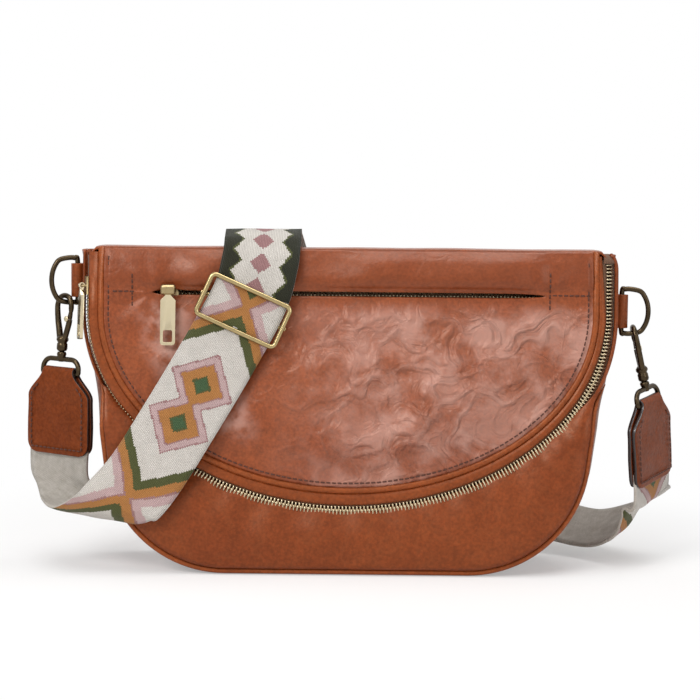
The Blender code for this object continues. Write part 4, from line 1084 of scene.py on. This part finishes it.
# where the CAD's hooks and swivels sit and how they are turned
hookFrames = {
    "left": Matrix(((0.74314, 0.05479, -0.66688, -0.14367), (-0.66913, 0.06085, -0.74065, 0.00049),
                    (0, 0.99664, 0.08188, 0.1328), (0, 0, 0, 1))),
    "right": Matrix(((0.0349, -0.22468, 0.97381, 0.14521), (0.99939, 0.00785, -0.03401, 0.00161),
                     (0, 0.9744, 0.22482, 0.1198), (0, 0, 0, 1))),
}
swivelFrames = {
    "left": Matrix(((0.83804, 0.05479, -0.54285, -0.14506), (-0.54546, 0.06085, -0.83592, -0.00104),
                    (-0.01277, 0.99664, 0.08088, 0.10768), (0, 0, 0, 1))),
    "right": Matrix(((0.57766, -0.22468, 0.78474, 0.15087), (0.80638, 0.00785, -0.59135, 0.00141),
                     (0.12671, 0.9744, 0.18571, 0.09525), (0, 0, 0, 1))),
}
hookLook = dict(
    # the arm from its nose over the arch and down, and the stub that carries the gate, in millimetres
    arm=[(5.3, -4.9), (5.35, -3.2), (5.2, -1), (3.9, 1.9), (1.4, 3.2), (-1.4, 3.2), (-3.9, 1.9), (-5.3, -1.2),
         (-5.1, -5), (-4.1, -10), (-3, -14), (-1.9, -18.4)],
    stub=[(4.5, -8.6), (4.1, -11), (3, -14.5), (1.7, -18.4)],
    gate=[(4.44, -8.2), (4.9, -6.6), (5.2, -4.9)],
    neck=[(0, -16.6), (1.9, -16.9), (3.0, -18.2), (3.1, -19.2), (2.5, -20.2), (2.3, -20.6), (2.7, -21.2),
          (2.75, -23.6), (2.4, -24.5), (1.7, -24.9), (0, -24.9)],
)
swivelLook = dict(
    # the eye's half width, the height of its top, its own height, two corner radii and wire, and the pin's profile
    half=11.7, top=-3.64, high=7.4, shoulder=5, corner=1.2, wire=1.3,
    pin=[(0, 6), (1.25, 5.8), (1.3, 0.1), (2.1, 0), (2.45, -1), (2.2, -2.2), (1.8, -3), (2.1, -4.1), (1.4, -5),
         (0, -5.1)],
)


def smoothWire(corners, matrix, steps):
    # a wire's line through corners that are given in millimetres
    line = [Vector((x, y, 0)) * mm for x, y in corners]
    return [matrix @ onCurve(line, (len(line) - 1) * k / steps) for k in range(steps + 1)]


def makeHook(side):
    matrix, title = hookFrames[side], side.capitalize()
    brass = (antiqueBrass, "hook_" + side, "antique_brass")
    # the arm is thin at its nose and grows towards the neck
    sizes = [(1.0 + 0.35 * min(k / 6, 1) + 0.35 * smoothStep((k - 34) / 26)) * mm for k in range(61)]
    mesh = tubeMesh(smoothWire(hookLook["arm"], matrix, 60), sizes, 14)
    piece("hookArm" + title, mesh, *brass, "hook_" + side)
    piece("hookStub" + title, tubeMesh(smoothWire(hookLook["stub"], matrix, 20), 1.5 * mm, 14), *brass)
    piece("hookNeck" + title, turned(hookLook["neck"], matrix), *brass)
    sizes = [(1.35 - 0.3 * k / 16) * mm for k in range(17)]
    mesh = tubeMesh(smoothWire(hookLook["gate"], matrix, 16), sizes, 14)
    piece("hookGate" + title, mesh, antiqueBrass, "gate_" + side, "antique_brass", "gate_" + side)
    refined("rivet_" + side, paleGold, "hook_" + side, "antique_brass", 0.25 * mm)


def makeSwivel(side):
    # the eye is bent from one wire, round at its shoulders, and hangs from a ball-headed pin
    look, matrix, title = swivelLook, swivelFrames[side], side.capitalize()
    brass = (antiqueBrass, "swivel_" + side, "antique_brass")
    line = []
    for k, (x, y) in enumerate(((1, 1), (-1, 1), (-1, -1), (1, -1))):
        radius = look["shoulder"] if y > 0 else look["corner"]
        x *= look["half"] - radius
        y = look["top"] - radius if y > 0 else look["top"] - look["high"] + radius
        for step in range(10):
            turn = math.radians(90 * k + 10 * step)
            corner = Vector((x + radius * math.cos(turn), y + radius * math.sin(turn), 0))
            line.append(matrix @ (corner * mm))
    piece("swivelEye" + title, tubeMesh(line, look["wire"] * mm, 14, ring=True), *brass, "swivel_" + side)
    piece("swivelPin" + title, turned(look["pin"], matrix), *brass)


for side in ("left", "right"):
    makeHook(side)
    makeSwivel(side)

# the D-rings: place, side of the bag and turn about the bar
ringLook = dict(wire=2.6 * mm, height=25 * mm, reach=16 * mm, steps=96)
ringPlaces = {
    "left": (Vector((-137.46, 3, 144)) * mm, -1, math.radians(22)),
    "right": (Vector((138.7, 3, 131)) * mm, 1, math.radians(12)),
}
for side, (place, sign, turn) in ringPlaces.items():
    # a D of round wire: its flat side is the bar that turns in the leather loop
    tall, deep = ringLook["height"] / 2 - ringLook["wire"] / 2, ringLook["reach"] - ringLook["wire"]
    bend = tall * 0.15
    corners = [(0, tall - bend), (bend, tall), (deep * 0.4, tall)]
    for degrees in range(60, -61, -20):
        angle = math.radians(degrees)
        corners.append((deep * (0.4 + 0.6 * math.cos(angle)), tall * math.sin(angle) * 1.05))
    corners += [(deep * 0.4, -tall), (bend, -tall), (0, bend - tall)]
    corners = [Vector(c) for c in corners]
    loop = corners[-2:] + corners + corners[:3]
    line = [onCurve(loop, 2 + len(corners) * k / ringLook["steps"]) for k in range(ringLook["steps"])]
    out = Vector((sign * math.cos(turn), -math.sin(turn), 0))
    line = [place + out * p.x + Vector((0, 0, p.y)) for p in line]
    mesh = tubeMesh(line, ringLook["wire"] / 2, 16, ring=True)
    piece("ring" + side.capitalize(), mesh, antiqueBrass, "ring_" + side, "antique_brass", "ring_" + side)

# the bridge that holds the pocket puller stands in front of the slit's lips, and the puller lies on the leather
sliderLook = dict(
    bridge=(7.6 * mm, 4.6 * mm, 5 * mm), rounding=0.9 * mm, place=Vector((-89.7, -16.4, 140.9)) * mm, lift=2.6 * mm
)
place = Matrix.Translation(sliderLook["place"]) @ Matrix.Rotation(lean, 4, "X")
mesh = repeated(roundedBlock("bridge", sliderLook["bridge"], sliderLook["rounding"]), [place])
soften(piece("pocketSliderBridge", mesh, sliderBrass, "pocket_slider", "pale_gold"), 0.3 * mm)
for name in ("main", "pocket"):
    refined(name + "_slider", sliderBrass, name + "_slider", "pale_gold", 0.3 * mm, 40)
    puller = refined(name + "_puller", paleGold, name + "_puller", "pale_gold", 0.35 * mm, 40)
    if name == "pocket":
        puller.data.transform(Matrix.Translation(outwards * sliderLook["lift"]))

buckle = dict(
    place=(-52 * mm, 130 * mm), rise=math.radians(66), half=(21.3 * mm, 10.8 * mm), corner=2.4 * mm, wire=1.2 * mm,
    stand=7 * mm, front=2.9 * mm, lug=4.6 * mm,
)


def buckleFrame():
    # cast round wire, bent to a rounded rectangle, with a lug at each end for the bar behind the strap
    x, z = buckle["place"]
    corner, front = buckle["corner"], buckle["front"]
    matrix = Matrix.Translation(Vector((x, -halfDepth(z), z)) + outwards * buckle["stand"])
    matrix = matrix @ Matrix((Vector((1, 0, 0)), upwards, outwards)).transposed().to_4x4()
    matrix = matrix @ Matrix.Rotation(buckle["rise"] - math.pi / 2, 4, "Z")
    line = []
    for k, signs in enumerate(((1, 1), (-1, 1), (-1, -1), (1, -1))):
        x, y = (sign * (half - corner) for sign, half in zip(signs, buckle["half"]))
        for n in range(9):
            turn = math.pi / 2 * (k + n / 8)
            line.append(Vector((x + corner * math.cos(turn), y + corner * math.sin(turn), front)))
    mesh = tubeMesh([matrix @ p for p in line], buckle["wire"], 16, ring=True)
    piece("buckleFrame", mesh, buckleGold, "buckle", "pale_gold", "buckle_frame")
    for side, name in ((-1, "Lower"), (1, "Upper")):
        x = side * buckle["half"][0]
        line = [Vector((x * (1 + 0.02 * (1 - k / 4)), 0, front - buckle["lug"] * k / 4)) for k in range(5)]
        mesh = tubeMesh([matrix @ p for p in line], buckle["wire"] * 1.2, 16)
        soften(piece("buckleLug" + name, mesh, buckleGold, "buckle", "pale_gold"), 0.4 * mm)


buckleFrame()
refined("buckle_bar", buckleGold, "buckle", "pale_gold", 0.2 * mm, 50)
print("hardware made")

strap = dict(
    width=38 * mm, thickness=1.5 * mm, stand=7.8 * mm, perStation=15, across=12,
    # the stations where one length ends and the next starts; some overlap a little
    leftCuts=(0, 2.1, 3.1, 4.1), frontEnd=10.83, top=(10.8, 13.23), back=13.2, rightCuts=(20.5, 21, 21.75),
    # the waves of the hanging ends, the front, the top and the back
    waves=(1.2 * mm, 0.3 * mm, 0.5 * mm, 0.6 * mm), frontBlend=1.55, topBlend=(10.9, 13.1),
)
# the strap's stations, as in the CAD: place in millimetres and direction of the width
leftEnd = [
    ((-146.02, -1.483, 63.284), (0.838, -0.5455, -0.0128)),
    ((-146.197, -1.365, 46.486), (0.838, -0.5455, -0.0128)),
]
leftRoute = [
    ((-141.5, -5, 38.5), (0.87, -0.48, 0)),
    ((-137, -13.5, 31.5), (0.92, -0.38, -0.05)),
    ((-127.5, -26.5, 29), (0.97, -0.2, -0.12)),
    ((-115, -33.5, 34), (0.93, 0, -0.35)),
]
# on the front: x, height and the angle of the strap in degrees
frontRoute = [(-101, 47, 57), (-81, 79, 58), (-64, 108, 62), (-49, 136, 70), (-44, 154, 80)]
backRoute = [
    ((-43, -12, 165), (0.98, 0.1, 0)),
    ((-43, -4, 169), (0.98, 0.1, 0)),
    ((-43, 6, 169.5), (0.98, 0.12, 0)),
    ((-42, 15.5, 162), (0.98, 0.1, 0.1)),
    ((-34, 21, 140), (0.96, 0.1, 0.25)),
    ((-12, 31, 100), (0.88, 0.15, 0.45)),
    ((24, 43, 58), (0.7, 0.25, 0.66)),
    ((62, 52, 32), (0.38, 0.55, 0.74)),
    ((98, 52, 19), (0.12, 0.85, 0.5)),
    ((127, 39, 13), (0.14, 0.94, 0.3)),
]
rightRoute = [((145, 21, 19), (0.34, 0.9, 0.27)), ((152, 12, 32), (0.5, 0.83, 0.24))]
rightEnd = [
    ((157.059, 6.494, 34.692), (0.5777, 0.8064, 0.1267)),
    ((155.819, 4.762, 51.358), (0.5777, 0.8064, 0.1267)),
]


def frontStations():
    found = []
    for x, z, rise in frontRoute:
        turn = math.radians(rise)
        place = Vector((x * mm, -halfDepth(z * mm), z * mm)) + outwards * strap["stand"]
        found.append((place / mm, Vector((1, 0, 0)) * math.sin(turn) - upwards * math.cos(turn)))
    return found


strapStations = leftEnd + leftRoute + frontStations() + backRoute + rightRoute + rightEnd
strapPlaces = [Vector(p) * mm for p, _ in strapStations]
strapWidths = [Vector(w).normalized() for _, w in strapStations]
frontStart = len(leftEnd + leftRoute) - 1
backEnd = len(leftEnd + leftRoute + frontRoute + backRoute) - 1
lastStation = len(strapStations) - 1


def strapFrame(at):
    # the place, direction, width direction and outer side at a station
    point = onCurve(strapPlaces, at)
    before, after = max(at - 0.12, 0), min(at + 0.12, lastStation)
    along = (onCurve(strapPlaces, after) - onCurve(strapPlaces, before)).normalized()
    width = onCurve(strapWidths, at)
    square = smoothStep(at - frontStart)
    across = (width - along * along.dot(width) * square).normalized()
    return point, along, across, along.cross(across).normalized()


def strapRun(first, last, steps):
    # the length along the strap at each of many steps
    found, before = [0], onCurve(strapPlaces, first)
    for k in range(1, steps + 1):
        here = onCurve(strapPlaces, first + (last - first) * k / steps)
        found.append(found[-1] + (here - before).length)
        before = here
    return found


def webbingPiece(name, first, last, body, node, held, rests, wave, whole=None):
    # whole is the longer run that the waves belong to
    start, stop = whole or (first, last)
    steps = int((last - first) * strap["perStation"])
    run = strapRun(first, last, steps)
    offset = strapRun(0, first, 400)[-1] if first else 0
    length = run[-1]

    def locate(u, v):
        at = first + (last - first) * v
        point, along, across, out = strapFrame(at)
        side = 2 * u - 1
        share = (at - start) / (stop - start)
        cup = wave * math.sin(math.pi * share) * (side * side - 0.35)
        ripple = wrinkle(offset + v * length, side * 0.03, 0, 22 * mm, 30) * wave * 1.2
        ripple *= 1 - abs(2 * share - 1) ** 6
        return point + across * (side * strap["width"] / 2) + out * (cup + ripple)

    mesh = sheetMesh(strap["across"], steps, locate)
    layer = mesh.loops.layers.uv.active
    for face in mesh.faces:
        for loop in face.loops:
            u, v = loop[layer].uv
            loop[layer].uv = ((u - 0.5) * strap["width"], offset + run[round(v * steps)])
    # hard edges at the cuts keep the shading even from one length to the next
    for edge in mesh.edges:
        loop = edge.link_loops[0]
        if edge.is_boundary and abs(loop[layer].uv.y - loop.link_loop_next[layer].uv.y) < 0.01 * mm:
            edge.smooth = False
    made = piece(name, mesh, [webbingPattern, webbingReverse, webbingEdge], body, "woven_webbing", node)
    thicken(made, strap["thickness"], 0, 1, 2)
    print(name, "is", round(length / mm), "mm long")
    return made


def webbingChain(title, stops, zones):
    # short lengths of webbing, one for each step along the chain of hardware
    node, rests = "webbing_" + title.lower(), ["leatherEnd" + title]
    for k, (first, last) in enumerate(zip(stops, stops[1:])):
        name = "webbing" + title + "ABCD"[k]
        made = webbingPiece(name, first, last, None, node, "hung", rests, strap["waves"][0], (stops[0], stops[-1]))
        a, b = (onCurve(strapPlaces, at) for at in zones[k])
        across = (onCurve(strapWidths, first) + onCurve(strapWidths, last)).normalized()
        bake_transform(made)


cuts = [*strap["leftCuts"], frontStart]
zones = list(zip([cuts[1] / 2, *cuts[1:]], cuts[1:]))
webbingChain(
    "Left", cuts[:-1] + [frontStart + 0.02], zones
)
front = webbingPiece(
    "webbingFront", frontStart, strap["frontEnd"], None, "webbing_front", "draped", ["flapLeather"], strap["waves"][1]
)
top = webbingPiece(
    "webbingTop", *strap["top"], None, ("webbing_front", "webbing_back"), "draped", ["topLeather"], strap["waves"][2]
)
webbingPiece(
    "webbingBack", strap["back"], backEnd, "bag", "webbing_back", "draped", ["topLeather"], strap["waves"][3]
)
cuts = [backEnd, *strap["rightCuts"], lastStation]
zones = list(zip(cuts, cuts[1:-1] + [lastStation - 1]))
webbingChain("Right", cuts, zones)
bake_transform(front)
# over the top edge it passes from the flap's hinge back to the bag
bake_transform(top)
print("strap made")


# the strap's leather ends, and where they hang in the CAD
endLook = dict(
    top=10 * mm, half=20 * mm, crown=2.8 * mm, length=44 * mm, shoulderStart=1 * mm, shoulderEnd=15 * mm,
    corner=6 * mm, leather=2.1 * mm, edge=0.55 * mm, inset=3.2 * mm, seamTop=9 * mm,
)
endFrames = {
    "left": Matrix(((0.83804, 0.0107, -0.54551, -0.14566), (-0.54546, -0.00696, -0.83811, -0.00172),
                    (-0.01277, 0.99992, 0, 0.09668), (0, 0, 0, 1))),
    "right": Matrix(((0.57766, -0.07379, 0.81293, 0.15335), (0.80638, -0.10301, -0.58236, 0.00132),
                     (0.12671, 0.99194, 0, 0.08449), (0, 0, 0, 1))),
}


def endHalf(down):
    # half the width at a distance below the crown
    look = endLook
    share = smoothStep((down - look["shoulderStart"]) / (look["shoulderEnd"] - look["shoulderStart"]))
    reach = max(down - look["length"] + look["corner"], 0) / look["corner"]
    rounding = look["corner"] * (1 - math.sqrt(max(1 - reach * reach, 0)))
    return look["top"] + (look["half"] - look["top"]) * share - rounding


def endLayer(label, front):
    # one of the two layers of leather, from the fold over the bar down to the hem
    look = endLook
    side = 1 if front else -1

    def locate(u, v):
        down = look["length"] * v
        x = (2 * u - 1) * endHalf(down)
        spread = look["crown"] - look["leather"] / 2
        close = spread * (1 - 0.28 * smoothStep((down - 4 * mm) / (14 * mm)))
        if down < look["crown"]:
            close = math.sqrt(max(look["crown"] ** 2 - (look["crown"] - down) ** 2, 0)) * spread / look["crown"]
        soft = wrinkle(x, down, side * 0.05, 14 * mm, 11) * 0.5 * mm
        return endFrames[label] @ Vector((x, look["crown"] - down, side * (close + soft)))

    return sheetMesh(20, 44, locate, flip=front)


def endSeam(label, sign):
    # down one side, along the hem and up the other side
    look = endLook
    low = look["length"] - look["inset"]
    outline = []
    for k in range(61):
        down = look["seamTop"] + (low - look["seamTop"]) * k / 60
        outline.append((endHalf(min(down, look["length"] - look["corner"])) - look["inset"], down))
    outline += [(outline[-1][0] * (1 - 2 * k / 20), low) for k in range(1, 21)]
    outline += [(-x, down) for x, down in outline[60::-1]]
    lift = look["crown"] * 0.72 + look["leather"] / 2 * 0.75 + 0.32 * mm
    return [endFrames[label] @ Vector((x, look["crown"] - down, sign * lift)) for x, down in outline]


for label in ("left", "right"):
    for front in (True, False):
        name = "leatherEnd" + label.capitalize() + ("" if front else "Back")
        body, node = "tab_" + label, "end_tab_" + label if front else ()
        coats = [tabLeather, tabLeather, edgePaint]
        made = piece(name, endLayer(label, front), coats, body, "cognac_leather", node)
        thicken(made, endLook["leather"], 0, 0, 2, endLook["edge"])
        sign = 1 if front else -1
        points = endSeam(label, sign)
        normals = [endFrames[label].to_3x3().col[2] * sign] * len(points)
        stitchLine(name + "Stitches", points, normals, body)
    refined("ring_tab_" + label, cognac, "bag", "cognac_leather", 0.3 * mm, 40)
print("leather ends made")

# the sewn seams: inset from the edges, and the two ends of the slit as place, reach and length in millimetres
seamLook = dict(
    inside=2.3 * mm, back=5 * mm, flapTop=156 * mm, backTop=154 * mm, tackLow=132, tackHigh=150, slit=139.5 * mm,
    ends=(("Left", -108, -118, 10), ("Right", 100.5, 121, -20)),
)


def flapSeam(name, places):
    points = [Vector((x, -halfDepth(z) - flapSwell(x, z), z)) for x, z in places]
    stitchLine(name, points, [outwards] * len(points), "flap")


flapSeam("flapEdgeStitches", [(x, min(z, seamLook["flapTop"])) for x, z in flapOutline(-seamLook["inside"], 120)])
for name, x, reach, length in seamLook["ends"]:
    rise = seamLook["tackHigh"] - seamLook["tackLow"]
    flapSeam("barTack" + name, [(x * mm, (seamLook["tackLow"] + rise * k / 10) * mm) for k in range(11)])
    flapSeam("slitStitches" + name, [((reach + length * k / 10) * mm, seamLook["slit"]) for k in range(11)])
points = []
for x, z, outX, outZ in bothSides(backRows):
    if z < seamLook["backTop"]:
        x, z = x - outX * seamLook["back"], z - outZ * seamLook["back"]
        swell = backSwell(x, z, min(abs(x) / seamHalf(z), 1))
        points.append(Vector((x, halfDepth(z) + 0.15 * mm + swell, z)))
stitchLine("backStitches", points, [Vector((0, 1, lean))] * len(points), "bag")
print("seams made")

# the camera stands as in the photograph; lamps have a place, a size and a power
studio = dict(
    distance=0.95, height=0.20, aim=(0.001, 0.0, 0.110), lens=96.3, roll=math.radians(0.6), world=0.34,
    lampAim=(0, 0, 0.08), floorShade=(0.12, 0.32, 0.34, 1),
    lamps=(
        ("keyLight", (-0.75, -1.0, 0.95), (0.7, 0.5), 11.0),
        ("fillLight", (1.0, -1.1, 0.55), (0.5, 0.8), 3.4),
        ("topLight", (0.1, -0.1, 1.3), (1.4, 0.5), 10.0),
    ),
)


def makeFloor():
    # white paper that keeps the shadow near the bag and fades to white farther off
    mesh = bmesh.new()
    bmesh.ops.create_grid(mesh, x_segments=2, y_segments=2, size=4)
    data = bpy.data.meshes.new("floor")
    mesh.to_mesh(data)
    mesh.free()
    made, tree, shader = newMaterial("paperFloor")
    feed(tree, shader, {"Roughness": 0.9, "Base Color": fromHex("F4F3F2"), "Specular IOR Level": 0.1})
    where = addNode(tree, "TexCoord").outputs["Object"]
    away = addNode(tree, "VectorMath", [where], operation="LENGTH").outputs["Value"]
    fade = addNode(tree, "MapRange", [away, *studio["floorShade"]], **eased)
    seen = addNode(tree, "LightPath").outputs["Is Camera Ray"]
    seen = addNode(tree, "Math", [seen, fade], operation="MULTIPLY")
    glow = addNode(tree, "Emission", {"Strength": 1.0})
    feed(tree, tree.nodes["Material Output"], [addNode(tree, "MixShader", [seen, shader, glow])])
    data.materials.append(made)
    floor = bpy.data.objects.new("floor", data)
    bpy.context.scene.collection.objects.link(floor)


def areaLight(name, place, size, power):
    light = bpy.data.lights.new(name, "AREA")
    light.shape = "RECTANGLE"
    light.size, light.size_y = size
    light.energy = power
    made = bpy.data.objects.new(name, light)
    made.location = place
    made.rotation_euler = (Vector(studio["lampAim"]) - Vector(place)).to_track_quat("-Z", "Y").to_euler()
    bpy.context.scene.collection.objects.link(made)


def makeWorld():
    # soft light on the bag, and plain white for the camera and in reflections
    world = bpy.data.worlds.new("studio")
    world.use_nodes = True
    tree = world.node_tree
    path = addNode(tree, "LightPath").outputs
    seen = addNode(tree, "Math", [path["Is Camera Ray"], path["Is Glossy Ray"]], operation="MAXIMUM")
    seen = addNode(tree, "Math", [seen, path["Is Transmission Ray"]], operation="MAXIMUM")
    strength = addNode(tree, "MapRange", {"Value": seen, "To Min": studio["world"]})
    feed(tree, tree.nodes["Background"], {"Color": (1, 1, 1, 1), "Strength": strength})
    bpy.context.scene.world = world


def makeCamera():
    data = bpy.data.cameras.new("camera")
    data.lens = studio["lens"]
    camera = bpy.data.objects.new("camera", data)
    aim = Vector(studio["aim"])
    rise = math.asin((studio["height"] - aim.z) / studio["distance"])
    camera.location = aim + studio["distance"] * Vector((0, -math.cos(rise), math.sin(rise)))
    facing = (aim - camera.location).to_track_quat("-Z", "Y").to_matrix()
    camera.rotation_euler = (facing @ Matrix.Rotation(studio["roll"], 3, "Z")).to_euler()
    bpy.context.scene.collection.objects.link(camera)
    bpy.context.scene.camera = camera


makeFloor()
makeWorld()
for lamp in studio["lamps"]:
    areaLight(*lamp)
makeCamera()
bpy.context.scene.view_settings.view_transform = "Standard"
print("studio made")
